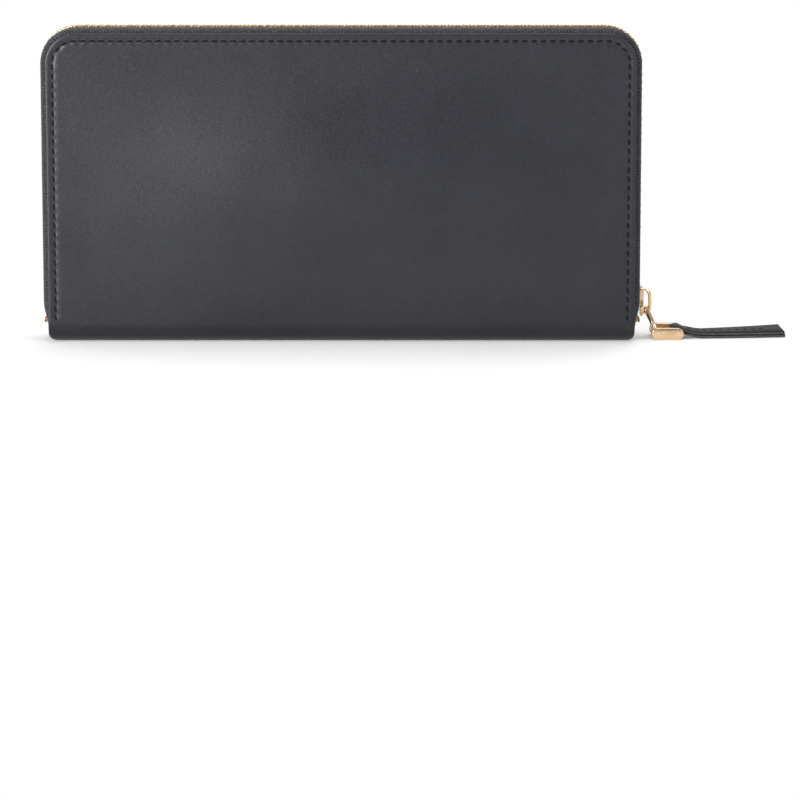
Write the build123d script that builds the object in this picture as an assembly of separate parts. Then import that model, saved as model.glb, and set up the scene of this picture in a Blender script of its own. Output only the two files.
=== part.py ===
from build123d import *
import math
import os

os.makedirs("parts", exist_ok=True)

# Driving sizes, mm. X along the wallet, -Y the front, +Z up, z = 0 under the spine.
LEATHER_LENGTH = 194.0
LEATHER_TOP = 102.0
HALF_THICKNESS = 12.3
COVER_WALL = 1.5
TOP_CORNER_R = 10.0
SPINE_CORNER_R = 6.5
FRONT_CROWN = 4.0
BACK_CROWN = 1.0
LAYER_GAP = 0.05

BOARD_WALL = 0.8
LINING_WALL = 0.4

TAPE_WALL = 0.6
TAPE_BAND = 1.9
TAPE_SEAM = 5.0
TAPE_FOOT = 5.0

CHAIN_WIDTH = 6.4
TOOTH_PITCH = 2.39
TOOTH_LENGTH = 0.85
TOOTH_DEPTH = 1.5
ROW_GAP = 0.45
TAPE_EDGE = 2.05

SLIDER_LENGTH = 9.4
SLIDER_NARROW = 7.9
SLIDER_LOBE = 10.1
POCKET_SLIDER_LOBE = 8.7
SLIDER_PLATE = 0.8
SLIDER_POST = 0.8
SLIDER_Z = 12.2
CROWN_BAR = 1.0
CROWN_WIDTH = 2.8

STITCH_PITCH = 3.05
STITCH_LENGTH = 1.6
STITCH_INSET = 2.5

LINK_LENGTH = 8.6
LINK_FALL = 65.0
LINK_WIRE_R = 0.6
BARREL_LENGTH = 8.4
SHACKLE_CLEAR = 1.2
SHACKLE_HEIGHT = 3.8
SHACKLE_ARM = 2.0
SHACKLE_REACH = 6.7
TAB_WIDTH = 9.0
TAB_PLY = 1.3
TAB_LENGTH = 36.0

WINDOW_MARGIN = 17.0
WINDOW_HEIGHT = 9.3
WINDOW_DROP = 24.4
WELT_WIDTH = 2.6
WELT_RISE = 1.2
RING_LENGTH = 12.2
RING_WIRE_R = 0.72
POCKET_TAB_LENGTH = 33.0
POCKET_TAB_PLY = 0.95

CARD_LAYERS = 3
CARD_LAYER_WALL = 0.5
CARD_STEP = 12.0
CARD_MARGIN = 9.0
CARD_DROP = 26.0
CENTRE_POCKET_ROOM = 4.2

# Sizes that follow from the ones above.
HALF_LENGTH = LEATHER_LENGTH / 2
INNER_FACE = HALF_THICKNESS - COVER_WALL
BAND_X = HALF_LENGTH + TAPE_BAND
BAND_TOP = LEATHER_TOP + TAPE_BAND
CHAIN_X = BAND_X - TAPE_WALL / 2
CHAIN_TOP = BAND_TOP - TAPE_WALL / 2
ARC_Y = HALF_THICKNESS - SPINE_CORNER_R
PLATE_OUT = TOOTH_DEPTH / 2 + 0.1
POCKET_TAPE_Y = INNER_FACE - LAYER_GAP - TAPE_WALL / 2
BAG_FACE = POCKET_TAPE_Y - PLATE_OUT - SLIDER_PLATE - 0.2
CROWN_HALF_X = HALF_LENGTH - 9.0
SHACKLE_GAP = BARREL_LENGTH + SHACKLE_CLEAR
WINDOW_LENGTH = LEATHER_LENGTH - 2 * WINDOW_MARGIN
WINDOW_Z = LEATHER_TOP - WINDOW_DROP
POCKET_SLIDER_X = WINDOW_LENGTH / 2 - SLIDER_LENGTH / 2 - 3.3
CARD_WIDTH = LEATHER_LENGTH - 2 * CARD_MARGIN
BACKING_TOP = LEATHER_TOP - 10.0
CENTRE_TOP = LEATHER_TOP - 14.0


def save(node, shape):
    """Write one node's solids."""
    export_step(shape, f"parts/{node}.step")


def box(x0, x1, y0, y1, z0, z1):
    """A box between two corners."""
    centre = Pos((x0 + x1) / 2, (y0 + y1) / 2, (z0 + z1) / 2)
    return centre * Box(x1 - x0, y1 - y0, z1 - z0)


def rod(start, end, radius):
    """A round rod from start to end."""
    a = Vector(*start)
    b = Vector(*end)
    plane = Plane(origin=a, z_dir=(b - a).normalized())
    return plane * Cylinder(radius, (b - a).length, align=(Align.CENTER, Align.CENTER, Align.MIN))


def ball(centre, radius):
    """A ball at a rod's corner."""
    return Pos(*centre) * Sphere(radius)


def outline(grow, bottom):
    """The wallet's outline seen from the front, grown by a margin, square at its bottom."""
    half = HALF_LENGTH + grow
    top = LEATHER_TOP + grow
    radius = max(TOP_CORNER_R + grow, 1.0)
    corner = top - radius
    inner = half - radius
    edges = [
        Line((-half, bottom), (-half, corner)),
        CenterArc((-inner, corner), radius, 180, -90),
        Line((-inner, top), (inner, top)),
        CenterArc((inner, corner), radius, 90, -90),
        Line((half, corner), (half, bottom)),
        Line((half, bottom), (-half, bottom)),
    ]
    return make_face(Curve() + edges)


def standing(face, near, far):
    """A front-view face turned into a slab between two Y planes."""
    low = min(near, far)
    high = max(near, far)
    plane = Plane(origin=(0, high, 0), x_dir=(1, 0, 0), z_dir=(0, -1, 0))
    return extrude(plane * face, amount=high - low)


def pillow(side, face, wall, rise, z0, z1):
    """A panel that swells outwards, its edge flat: side is -1 at the front and +1 at the back."""
    rows = []
    for i in range(5):
        x = CROWN_HALF_X * (i / 2 - 1)
        row = []
        for j in range(5):
            lift = rise * 64 / 9 if i == j == 2 else 0.0
            row.append(Vector(x, side * (face + lift), z0 + (z1 - z0) * j / 4))
        rows.append(row)
    skin = Face.make_bezier_surface(rows)
    return extrude(skin, amount=wall, dir=(0, -side, 0))


def sheet(side, face, wall, grow, bottom, rise, z0, z1):
    """One layer of a cover: a flat border round a swelling middle."""
    border = standing(outline(grow, bottom), side * face, side * (face - wall))
    border -= box(-CROWN_HALF_X, CROWN_HALF_X, -50, 50, z0, z1)
    return border + pillow(side, face, wall, rise, z0, z1)


def front_sheet(face, wall, grow, bottom):
    """A layer of the front cover."""
    return sheet(-1, face, wall, grow, bottom, FRONT_CROWN, 12.0, LEATHER_TOP - 9)


def back_sheet(face, wall, grow, bottom):
    """A layer of the back cover, swelling below the outer pocket."""
    top = WINDOW_Z - WINDOW_HEIGHT / 2 - WELT_WIDTH - 1.0
    return sheet(1, face, wall, grow, bottom, BACK_CROWN, 12.0, top)


def spine_arc(side, start, sweep):
    """A length of the leather's round turn under the wallet, between two angles."""
    centre = (side * ARC_Y, SPINE_CORNER_R)
    outer = CenterArc(centre, SPINE_CORNER_R, start, sweep)
    inner = CenterArc(centre, SPINE_CORNER_R - COVER_WALL, start, sweep)
    joins = [Line(outer @ 0, inner @ 0), Line(outer @ 1, inner @ 1)]
    face = make_face(Curve() + [outer, inner] + joins)
    plane = Plane(origin=(-HALF_LENGTH, 0, 0), x_dir=(0, 1, 0), z_dir=(1, 0, 0))
    return extrude(plane * face, amount=LEATHER_LENGTH)


def zip_tape(side):
    """A U of tape: sewn flat inside the cover, then turned across the end towards the chain."""
    seam_out = INNER_FACE - LAYER_GAP
    seam_in = seam_out - TAPE_WALL
    across = standing(outline(TAPE_BAND, TAPE_FOOT), side * seam_out, side * TAPE_EDGE)
    across -= standing(outline(TAPE_BAND - TAPE_WALL, -1), side * (seam_out + 1), 0)
    sewn = standing(outline(TAPE_BAND, SPINE_CORNER_R + 2), side * seam_out, side * seam_in)
    sewn -= standing(outline(-TAPE_SEAM, -1), side * (seam_out + 1), side * (seam_in - 1))
    return across + sewn


def track(half, top, radius, foot, pitch):
    """Places along the way up one end, over the top and down the other: x, z, turn in degrees."""
    rise = top - radius - foot
    bend = radius * math.pi / 2
    flat = 2 * (half - radius)
    total = 2 * rise + 2 * bend + flat
    places = []
    for n in range(int(total / pitch) + 1):
        s = n * pitch
        if s < rise:
            places.append((-half, foot + s, -90.0))
        elif s < rise + bend:
            turn = math.degrees((s - rise) / radius)
            a = math.radians(180 - turn)
            across = radius - half + radius * math.cos(a)
            places.append((across, top - radius + radius * math.sin(a), turn - 90))
        elif s < rise + bend + flat:
            places.append((radius - half + s - rise - bend, top, 0.0))
        elif s < rise + 2 * bend + flat:
            turn = math.degrees((s - rise - bend - flat) / radius)
            a = math.radians(90 - turn)
            across = half - radius + radius * math.cos(a)
            places.append((across, top - radius + radius * math.sin(a), turn))
        else:
            places.append((half, top - radius - (s - rise - 2 * bend - flat), 90.0))
    return places


def tooth(side):
    """A chain tooth at the origin, lying along Y, its legs round the tape."""
    half = TOOTH_LENGTH / 2
    body = box(-half, half, ROW_GAP, CHAIN_WIDTH / 2, -TOOTH_DEPTH / 2, TOOTH_DEPTH / 2)
    slot = TAPE_WALL / 2 + 0.05
    body -= box(-1, 1, TAPE_EDGE - 0.05, CHAIN_WIDTH, -slot, slot)
    return body if side > 0 else mirror(body, about=Plane.XZ)


def main_teeth(side):
    """One half's row of teeth, from the far end's foot to just above the slider."""
    shift = 0.0 if side < 0 else TOOTH_PITCH / 2
    low = SLIDER_Z + SLIDER_LENGTH / 2 + 1.2
    one = tooth(side)
    row = []
    bend = TOP_CORNER_R + TAPE_BAND - TAPE_WALL / 2
    for x, z, turn in track(CHAIN_X, CHAIN_TOP, bend, 10 + shift, TOOTH_PITCH):
        if x > 0 and z < low:
            continue
        row.append(Pos(x, 0, z) * Rot(0, turn, 0) * one)
    return Compound(children=row)


def zip_stops(side):
    """The stops at both ends of one row."""
    inner = side * ROW_GAP
    outer = side * (CHAIN_WIDTH / 2)
    stops = []
    for end in (-1, 1):
        top = SLIDER_Z - SLIDER_LENGTH / 2 - 0.5
        block = box(CHAIN_X - 0.75, CHAIN_X + 0.75, min(inner, outer), max(inner, outer), top - 1.6, top)
        slot = TAPE_WALL / 2 + 0.05
        edge = side * (TAPE_EDGE - 0.05)
        far = side * CHAIN_WIDTH
        block -= box(CHAIN_X - slot, CHAIN_X + slot, min(edge, far), max(edge, far), top - 3, top + 1)
        stops.append(block if end > 0 else mirror(block, about=Plane.YZ))
    return Compound(children=stops)


def cover_stitches(side):
    """The thread round a cover's edge, one solid to a stitch."""
    y = side * (HALF_THICKNESS + 0.16)
    one = Box(STITCH_LENGTH, 0.3, 0.45)
    half = HALF_LENGTH - STITCH_INSET
    row = []
    bend = TOP_CORNER_R - STITCH_INSET
    for x, z, turn in track(half, LEATHER_TOP - STITCH_INSET, bend, 8.5, STITCH_PITCH):
        row.append(Pos(x, y, z) * Rot(0, turn, 0) * one)
    return Compound(children=row)


def slider_outline(width):
    """The slider's plate: a narrow neck at +Y, two lobes, a tapered mouth at -Y."""
    end = SLIDER_LENGTH / 2
    neck = SLIDER_NARROW / 2
    lobe = width / 2
    half = [(neck, end), (neck, end * 0.15), (lobe, -end * 0.35), (neck * 0.75, -end)]
    points = half + [(-x, y) for x, y in reversed(half)]
    face = make_face(Polyline(*points, close=True))
    return fillet(face.vertices(), 0.8)


def slider_body(width):
    """A slider at the origin: two plates with side walls, joined by the wedge between the rows."""
    plate = extrude(slider_outline(width), amount=SLIDER_PLATE)
    top = Pos(0, 0, PLATE_OUT) * plate
    bottom = Pos(0, 0, -PLATE_OUT - SLIDER_PLATE) * plate
    body = top + bottom
    mouth = -SLIDER_LENGTH / 2
    post = SLIDER_POST / 2
    reach = PLATE_OUT + 0.1
    body += box(-post, post, mouth + 0.6, mouth + 3.4, -reach, reach)
    slot = TAPE_WALL / 2 + 0.2
    walls = box(CHAIN_WIDTH / 2 + 0.1, SLIDER_NARROW / 2, 0, -mouth - 0.5, slot, PLATE_OUT + 0.1)
    walls += mirror(walls, about=Plane.XY)
    return body + walls + mirror(walls, about=Plane.YZ)


def slider_crown(height, across, reach):
    """The bridge on the slider's plate that holds the pull."""
    base = PLATE_OUT + SLIDER_PLATE
    solid = box(-CROWN_WIDTH / 2, CROWN_WIDTH / 2, -reach, reach, base, base + height + CROWN_BAR)
    edges = solid.edges().filter_by(Axis.X).group_by(Axis.Z)[-1]
    solid = fillet(edges, CROWN_BAR * 1.2)
    solid -= box(-5, 5, -reach + CROWN_BAR, reach - CROWN_BAR, base + 0.35, base + height)
    return Rot(0, 0, 90) * solid if across else solid


def slider_spring(height, across, reach):
    """The lock spring lying on the foot of the bridge."""
    base = PLATE_OUT + SLIDER_PLATE + 0.37
    leaf = box(-0.9, 0.9, -reach + CROWN_BAR + 0.1, reach - CROWN_BAR - 0.1, base, base + 0.2)
    return Rot(0, 0, 90) * leaf if across else leaf


MAIN_SLIDER = Plane(origin=(CHAIN_X, 0, SLIDER_Z), x_dir=(0, 1, 0), z_dir=(1, 0, 0))
POCKET_SLIDER = Plane(origin=(POCKET_SLIDER_X, POCKET_TAPE_Y, WINDOW_Z), x_dir=(0, 0, -1), z_dir=(0, 1, 0))
MAIN_CROWN = 2.0
MAIN_REACH = 4.2
POCKET_CROWN = 3.5
POCKET_REACH = 3.7
NECK_X = CHAIN_X + PLATE_OUT + SLIDER_PLATE + 0.57 + LINK_WIRE_R + 0.08
NECK_Z = SLIDER_Z - MAIN_REACH + CROWN_BAR + LINK_WIRE_R + 0.15
PIN_X = NECK_X + LINK_LENGTH * math.cos(math.radians(LINK_FALL))
PIN_Z = NECK_Z - LINK_LENGTH * math.sin(math.radians(LINK_FALL))
BAR_X = PIN_X + SHACKLE_REACH
BAR_R = 0.9
LOOP_IN = BAR_R + 0.06
LOOP_OUT = LOOP_IN + TAB_PLY
BAR_Z = LOOP_OUT + 0.02
PIN_R = 0.5
RING_Y = POCKET_TAPE_Y + PLATE_OUT + SLIDER_PLATE + POCKET_CROWN - RING_WIRE_R - 0.3
RING_Z = WINDOW_Z + POCKET_REACH - CROWN_BAR - RING_WIRE_R - 0.15
RING_FOOT = RING_Z - RING_LENGTH + 2 * RING_WIRE_R


def link():
    """The bell-shaped wire loop with a barrel at its wide end."""
    neck = 2.2
    wide = BARREL_LENGTH / 2 - LINK_WIRE_R
    place = Plane(
        origin=(NECK_X, 0, NECK_Z),
        x_dir=(0, 1, 0),
        z_dir=(math.sin(math.radians(LINK_FALL)), 0, math.cos(math.radians(LINK_FALL))),
    )
    down = -LINK_LENGTH if place.y_dir.Z > 0 else LINK_LENGTH
    shape = rod((-neck, 0, 0), (neck, 0, 0), LINK_WIRE_R)
    for s in (-1, 1):
        shape += ball((s * neck, 0, 0), LINK_WIRE_R)
        shape += rod((s * neck, 0, 0), (s * wide, down, 0), LINK_WIRE_R)
    shape += rod((-BARREL_LENGTH / 2, down, 0), (BARREL_LENGTH / 2, down, 0), 1.0)
    shape -= rod((-BARREL_LENGTH, down, 0), (BARREL_LENGTH, down, 0), PIN_R + 0.06)
    return place * shape


def shackle():
    """Two arms with pin ears, joined by the bar that carries the strap."""
    inner = SHACKLE_GAP / 2
    outer = inner + SHACKLE_ARM
    half = SHACKLE_HEIGHT / 2
    middle = half + 0.05
    shape = rod((BAR_X, -inner - 0.5, BAR_Z), (BAR_X, inner + 0.5, BAR_Z), BAR_R)
    for s in (-1, 1):
        low = min(s * inner, s * outer)
        high = max(s * inner, s * outer)
        arm = box(PIN_X, BAR_X, low, high, 0.05, 0.05 + SHACKLE_HEIGHT)
        arm += rod((PIN_X, low, middle), (PIN_X, high, middle), half)
        arm += rod((BAR_X, low, middle), (BAR_X, high, middle), half)
        shape += arm
    return shape - rod((PIN_X, -outer - 1, PIN_Z), (PIN_X, outer + 1, PIN_Z), PIN_R + 0.02)


def shackle_pin():
    """The screw pin through both ears and the link's barrel."""
    outer = SHACKLE_GAP / 2 + SHACKLE_ARM
    shape = rod((PIN_X, -outer - 0.2, PIN_Z), (PIN_X, outer + 0.1, PIN_Z), PIN_R)
    return shape + rod((PIN_X, -outer - 0.45, PIN_Z), (PIN_X, -outer - 0.02, PIN_Z), 0.95)


def main_tab():
    """The leather strap folded double round the shackle's bar."""
    half = TAB_WIDTH / 2
    end = BAR_X + TAB_LENGTH
    low = BAR_Z - LOOP_OUT
    strap = box(BAR_X + 1.2, end, -half, half, low, low + 2 * TAB_PLY)
    strap = fillet(strap.edges().filter_by(Axis.Z).group_by(Axis.X)[-1], 0.8)
    shape = strap + rod((BAR_X, -half, BAR_Z), (BAR_X, half, BAR_Z), LOOP_OUT)
    return shape - rod((BAR_X, -half - 1, BAR_Z), (BAR_X, half + 1, BAR_Z), LOOP_IN)


def tab_stitches():
    """The single row of stitches along the strap."""
    top = BAR_Z - LOOP_OUT + 2 * TAB_PLY
    row = []
    for n in range(9):
        x = BAR_X + 4.0 + 2.7 * n
        row.append(box(x, x + 1.7, -0.25, 0.25, top + 0.01, top + 0.28))
    return Compound(children=row)


def pocket_ring():
    """The flat wire ring hanging in the pocket slider's bridge."""
    half = 5.0
    corners = [
        (POCKET_SLIDER_X - half, RING_Y, RING_Z),
        (POCKET_SLIDER_X + half, RING_Y, RING_Z),
        (POCKET_SLIDER_X + half, RING_Y, RING_FOOT),
        (POCKET_SLIDER_X - half, RING_Y, RING_FOOT),
    ]
    shape = ball(corners[0], RING_WIRE_R)
    for a, b in zip(corners, corners[1:] + corners[:1]):
        shape += rod(a, b, RING_WIRE_R)
        shape += ball(b, RING_WIRE_R)
    return shape


def pocket_tab():
    """The folded leather strap on the pocket's ring."""
    half = 4.1
    inner = RING_WIRE_R + 0.06
    outer = inner + POCKET_TAB_PLY
    low = RING_FOOT - POCKET_TAB_LENGTH
    strap = box(
        POCKET_SLIDER_X - half, POCKET_SLIDER_X + half,
        RING_Y - POCKET_TAB_PLY, RING_Y + POCKET_TAB_PLY, low, RING_FOOT - 1.0,
    )
    strap = fillet(strap.edges().filter_by(Axis.Y).group_by(Axis.Z)[0], 0.8)
    left = Vector(POCKET_SLIDER_X - half, RING_Y, RING_FOOT)
    right = Vector(POCKET_SLIDER_X + half, RING_Y, RING_FOOT)
    shape = strap + rod(left, right, outer)
    return shape - rod(left - Vector(1, 0, 0), right + Vector(1, 0, 0), inner)


def pocket_tab_stitches():
    """The row of stitches down the pocket's strap."""
    y = RING_Y + POCKET_TAB_PLY
    row = []
    for n in range(9):
        z = RING_FOOT - 5.0 - 2.7 * n
        row.append(box(POCKET_SLIDER_X - 0.25, POCKET_SLIDER_X + 0.25, y + 0.01, y + 0.28, z - 1.7, z))
    return Compound(children=row)


def pocket_teeth():
    """Both rows of the outer pocket's chain."""
    half = WINDOW_LENGTH / 2 - 3.5
    row = []
    for side in (-1, 1):
        one = Rot(90, 0, 0) * tooth(side)
        shift = 0.0 if side < 0 else TOOTH_PITCH / 2
        for n in range(int((2 * half - shift) / TOOTH_PITCH)):
            row.append(Pos(-half + shift + n * TOOTH_PITCH, POCKET_TAPE_Y, WINDOW_Z) * one)
    return Compound(children=row)


def pocket_tape(side):
    """A straight tape behind the window, above or below the chain."""
    near = WINDOW_Z + side * TAPE_EDGE
    far = WINDOW_Z + side * (TAPE_EDGE + 9.0)
    half = WINDOW_LENGTH / 2 + 4
    y = POCKET_TAPE_Y
    return box(-half, half, y - TAPE_WALL / 2, y + TAPE_WALL / 2, min(near, far), max(near, far))


def pocket_stops():
    """The stops at both ends of the pocket's chain."""
    half = WINDOW_LENGTH / 2 - 2.2
    slot = TAPE_WALL / 2 + 0.05
    stops = []
    for end in (-1, 1):
        low = end * half - 0.8
        y = POCKET_TAPE_Y
        block = box(low, low + 1.6, y - 0.75, y + 0.75, WINDOW_Z - 3.2, WINDOW_Z + 3.2)
        for s in (-1, 1):
            near = WINDOW_Z + s * (TAPE_EDGE - 0.05)
            far = WINDOW_Z + s * 5
            block -= box(low - 1, low + 3, y - slot, y + slot, min(near, far), max(near, far))
        stops.append(block)
    return Compound(children=stops)


def pocket_welt(side):
    """A raised folded lip along the window."""
    near = WINDOW_Z + side * WINDOW_HEIGHT / 2
    far = near + side * WELT_WIDTH
    half = WINDOW_LENGTH / 2 + 1.5
    y = HALF_THICKNESS
    welt = box(-half, half, y, y + WELT_RISE, min(near, far), max(near, far))
    return fillet(welt.edges().filter_by(Axis.X).group_by(Axis.Y)[-1], 0.5)


def pocket_bag():
    """The outer pocket's lining: a sheet with a rim that reaches the cover."""
    bag = back_sheet(BAG_FACE, 0.3, -7, 9.5)
    rim = standing(outline(-7, 9.5), INNER_FACE - LAYER_GAP, BAG_FACE)
    rim -= standing(outline(-7.6, 10.1), 0, 30)
    return bag + rim


def card_backing(side, face):
    """The sheet that carries one side's card pockets."""
    half = CARD_WIDTH / 2
    near = side * face
    far = side * (face + 0.4)
    return box(-half, half, min(near, far), max(near, far), 8.5, BACKING_TOP)


def card_pockets(side, face):
    """Stepped card pockets, the tallest lying on the backing."""
    half = CARD_WIDTH / 2
    layers = []
    for n in range(CARD_LAYERS):
        far = side * (face - n * CARD_LAYER_WALL)
        near = side * (face - (n + 1) * CARD_LAYER_WALL)
        top = LEATHER_TOP - CARD_DROP - n * CARD_STEP
        layers.append(box(-half + 1, half - 1, min(far, near), max(far, near), 9, top))
    return Compound(children=layers)


def card_gusset(side, face, lining):
    """The strips that join a card backing to the lining behind it, at its sides and foot."""
    half = CARD_WIDTH / 2
    y0 = min(side * face, side * lining)
    y1 = max(side * face, side * lining)
    strip = box(half - 0.8, half, y0, y1, 8.5, BACKING_TOP - 2)
    return box(-half, half, y0, y1, 8.5, 9.3) + strip + mirror(strip, about=Plane.YZ)


def centre_pocket(side):
    """One face of the slip pocket in the middle."""
    half = CARD_WIDTH / 2
    near = side * CENTRE_POCKET_ROOM / 2
    far = side * (CENTRE_POCKET_ROOM / 2 + 0.4)
    return box(-half, half, min(near, far), max(near, far), 2.65, CENTRE_TOP)


def centre_pocket_binding():
    """The strips that close the middle pocket at its sides and foot."""
    half = CARD_WIDTH / 2
    room = CENTRE_POCKET_ROOM / 2
    top = CENTRE_TOP - 2
    strip = box(half - 0.8, half, -room, room, 2.65, top)
    return box(-half, half, -room, room, 2.65, 3.5) + strip + mirror(strip, about=Plane.YZ)


def front_cover():
    """The front panel with its share of the turn under the wallet."""
    panel = front_sheet(HALF_THICKNESS, COVER_WALL, 0, SPINE_CORNER_R)
    return panel + spine_arc(-1, 180, 45)


def back_cover():
    """The back panel with the outer pocket's window."""
    panel = back_sheet(HALF_THICKNESS, COVER_WALL, 0, SPINE_CORNER_R)
    half = WINDOW_LENGTH / 2
    tall = WINDOW_HEIGHT / 2
    return panel - box(-half, half, 5, 20, WINDOW_Z - tall, WINDOW_Z + tall)


def spine_panel():
    """The leather under the wallet with both its turns."""
    flat = box(-HALF_LENGTH, HALF_LENGTH, -ARC_Y, ARC_Y, 0, COVER_WALL)
    return flat + spine_arc(-1, 225, 45) + spine_arc(1, 270, 90)


def main():
    front_board = INNER_FACE - LAYER_GAP
    front_lining = front_board - BOARD_WALL - LAYER_GAP
    back_board = BAG_FACE - 0.3 - LAYER_GAP
    back_lining = back_board - BOARD_WALL - LAYER_GAP
    card_face = CENTRE_POCKET_ROOM / 2 + 0.4 + 0.3 + CARD_LAYERS * CARD_LAYER_WALL

    save("front_cover", front_cover())
    save("back_cover", back_cover())
    save("spine_panel", spine_panel())
    save("front_board", front_sheet(front_board, BOARD_WALL, -6, 8.5))
    save("front_lining", front_sheet(front_lining, LINING_WALL, -1.5, 8))
    save("back_board", back_sheet(back_board, BOARD_WALL, -6, 8.5))
    save("back_lining", back_sheet(back_lining, LINING_WALL, -1.5, 8))
    board_top = COVER_WALL + 0.7
    half = HALF_LENGTH - 2
    save("spine_board", box(2 - half, half - 2, -5, 5, COVER_WALL, board_top))
    save("spine_lining", box(-half, half, -5.2, 5.2, board_top, board_top + LINING_WALL))
    save("front_zip_tape", zip_tape(-1))
    save("back_zip_tape", zip_tape(1))
    save("front_zip_teeth", main_teeth(-1))
    save("back_zip_teeth", main_teeth(1))
    save("front_zip_stops", zip_stops(-1))
    save("back_zip_stops", zip_stops(1))
    save("front_cover_stitching", cover_stitches(-1))
    save("back_cover_stitching", cover_stitches(1))

    save("main_slider_body", MAIN_SLIDER * slider_body(SLIDER_LOBE))
    save("main_slider_crown", MAIN_SLIDER * slider_crown(MAIN_CROWN, False, MAIN_REACH))
    save("main_slider_spring", MAIN_SLIDER * slider_spring(MAIN_CROWN, False, MAIN_REACH))
    save("main_pull_link", link())
    save("main_pull_shackle", shackle())
    save("main_pull_pin", shackle_pin())
    save("main_pull_tab", main_tab())
    save("main_pull_stitching", tab_stitches())

    save("pocket_slider_body", POCKET_SLIDER * slider_body(POCKET_SLIDER_LOBE))
    save("pocket_slider_crown", POCKET_SLIDER * slider_crown(POCKET_CROWN, True, POCKET_REACH))
    save("pocket_slider_spring", POCKET_SLIDER * slider_spring(POCKET_CROWN, True, POCKET_REACH))
    save("pocket_pull_ring", pocket_ring())
    save("pocket_pull_tab", pocket_tab())
    save("pocket_pull_stitching", pocket_tab_stitches())
    save("pocket_zip_teeth", pocket_teeth())
    save("pocket_tape_upper", pocket_tape(1))
    save("pocket_tape_lower", pocket_tape(-1))
    save("pocket_zip_stops", pocket_stops())
    save("pocket_welt_upper", pocket_welt(1))
    save("pocket_welt_lower", pocket_welt(-1))
    save("pocket_bag", pocket_bag())

    save("front_card_backing", card_backing(-1, card_face))
    save("back_card_backing", card_backing(1, card_face))
    save("front_card_pockets", card_pockets(-1, card_face))
    save("back_card_pockets", card_pockets(1, card_face))
    save("front_card_gusset", card_gusset(-1, card_face + 0.4, front_lining - LINING_WALL))
    save("back_card_gusset", card_gusset(1, card_face + 0.4, back_lining - LINING_WALL))
    save("centre_pocket_front", centre_pocket(-1))
    save("centre_pocket_back", centre_pocket(1))
    save("centre_pocket_binding", centre_pocket_binding())


main()
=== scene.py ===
"""Looks of a zip-around long wallet: leather covers, zips, gilt pulls and thread."""

import logging
import math
from collections.abc import Iterator
from contextlib import contextmanager
from dataclasses import dataclass
from enum import Enum

import bmesh
import bpy
import numpy as np
from mathutils import Matrix, Vector

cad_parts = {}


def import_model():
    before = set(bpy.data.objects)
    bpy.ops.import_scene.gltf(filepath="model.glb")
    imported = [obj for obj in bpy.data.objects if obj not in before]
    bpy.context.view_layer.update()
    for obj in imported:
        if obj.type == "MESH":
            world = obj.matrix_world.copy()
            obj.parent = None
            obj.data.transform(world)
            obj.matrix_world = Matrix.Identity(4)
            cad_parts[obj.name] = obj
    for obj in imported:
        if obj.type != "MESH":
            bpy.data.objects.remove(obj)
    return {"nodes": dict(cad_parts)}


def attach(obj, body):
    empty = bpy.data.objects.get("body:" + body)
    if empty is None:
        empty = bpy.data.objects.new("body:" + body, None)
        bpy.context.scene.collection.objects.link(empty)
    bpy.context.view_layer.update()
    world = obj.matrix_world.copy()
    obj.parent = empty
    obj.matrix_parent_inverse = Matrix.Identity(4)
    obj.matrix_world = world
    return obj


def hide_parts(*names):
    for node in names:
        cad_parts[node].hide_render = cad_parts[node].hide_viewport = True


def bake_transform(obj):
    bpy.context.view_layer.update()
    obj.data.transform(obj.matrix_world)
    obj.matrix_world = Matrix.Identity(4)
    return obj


LOG = logging.getLogger("wallet")
MM = 0.001
PER_METRE = 1000.0

# Sizes in millimetres that several sub-assemblies share: the leather's outline and two pitches.
HALF_LENGTH = 97.0
TOP = 102.0
CORNER = 10.0
STITCH_PITCH = 3.05
TOOTH_PITCH = 2.39

Colour = tuple[float, float, float]
Face = tuple[int, ...]
Sheet = tuple[np.ndarray, np.ndarray, np.ndarray, np.ndarray]
NODES: dict[str, bpy.types.Object] = {}


class Side(Enum):
    """The two halves of the wallet, by the sign of their Y."""

    FRONT = -1
    BACK = 1

    @property
    def body(self) -> str:
        """The CAD body that this half rides on."""
        return "front_half" if self is Side.FRONT else "back_half"

    @property
    def word(self) -> str:
        """The half's name in piece names."""
        return "front" if self is Side.FRONT else "back"


class Slot(Enum):
    """Material slot names for the wallet's finishes."""

    LEATHER = "leather"
    STRAP = "strap_leather"
    THREAD = "thread"
    TAPE = "tape"
    BRASS = "antique_brass"
    GILT = "champagne_metal"


def put(name: str, data: bpy.types.ID) -> bpy.types.Object:
    """Puts a mesh, a lamp or a camera into the scene.

    Args:
        name: the object's name.
        data: what it shows.

    Returns:
        The object.
    """
    thing = bpy.data.objects.new(name, data)
    bpy.context.scene.collection.objects.link(thing)
    return thing


def drop(thing: bpy.types.Object) -> None:
    """Removes an object that has been used."""
    bpy.data.objects.remove(thing, do_unlink=True)


def soften(mesh: bpy.types.Mesh) -> None:
    """Makes every face of a mesh shade smoothly."""
    mesh.polygons.foreach_set("use_smooth", [True] * len(mesh.polygons))


@contextmanager
def editing(mesh: bpy.types.Mesh) -> Iterator[bmesh.types.BMesh]:
    """Opens a mesh for changes and writes them back at the end.

    Args:
        mesh: the mesh.

    Yields:
        Its corners, edges and faces.
    """
    form = bmesh.new()
    form.from_mesh(mesh)
    yield form
    form.to_mesh(mesh)
    form.free()


def bake(thing: bpy.types.Object) -> None:
    """Turns an object with modifiers into a plain mesh.

    Args:
        thing: the object, which keeps its name.
    """
    graph = bpy.context.evaluated_depsgraph_get()
    thing.data = bpy.data.meshes.new_from_object(thing.evaluated_get(graph))
    thing.modifiers.clear()


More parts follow.
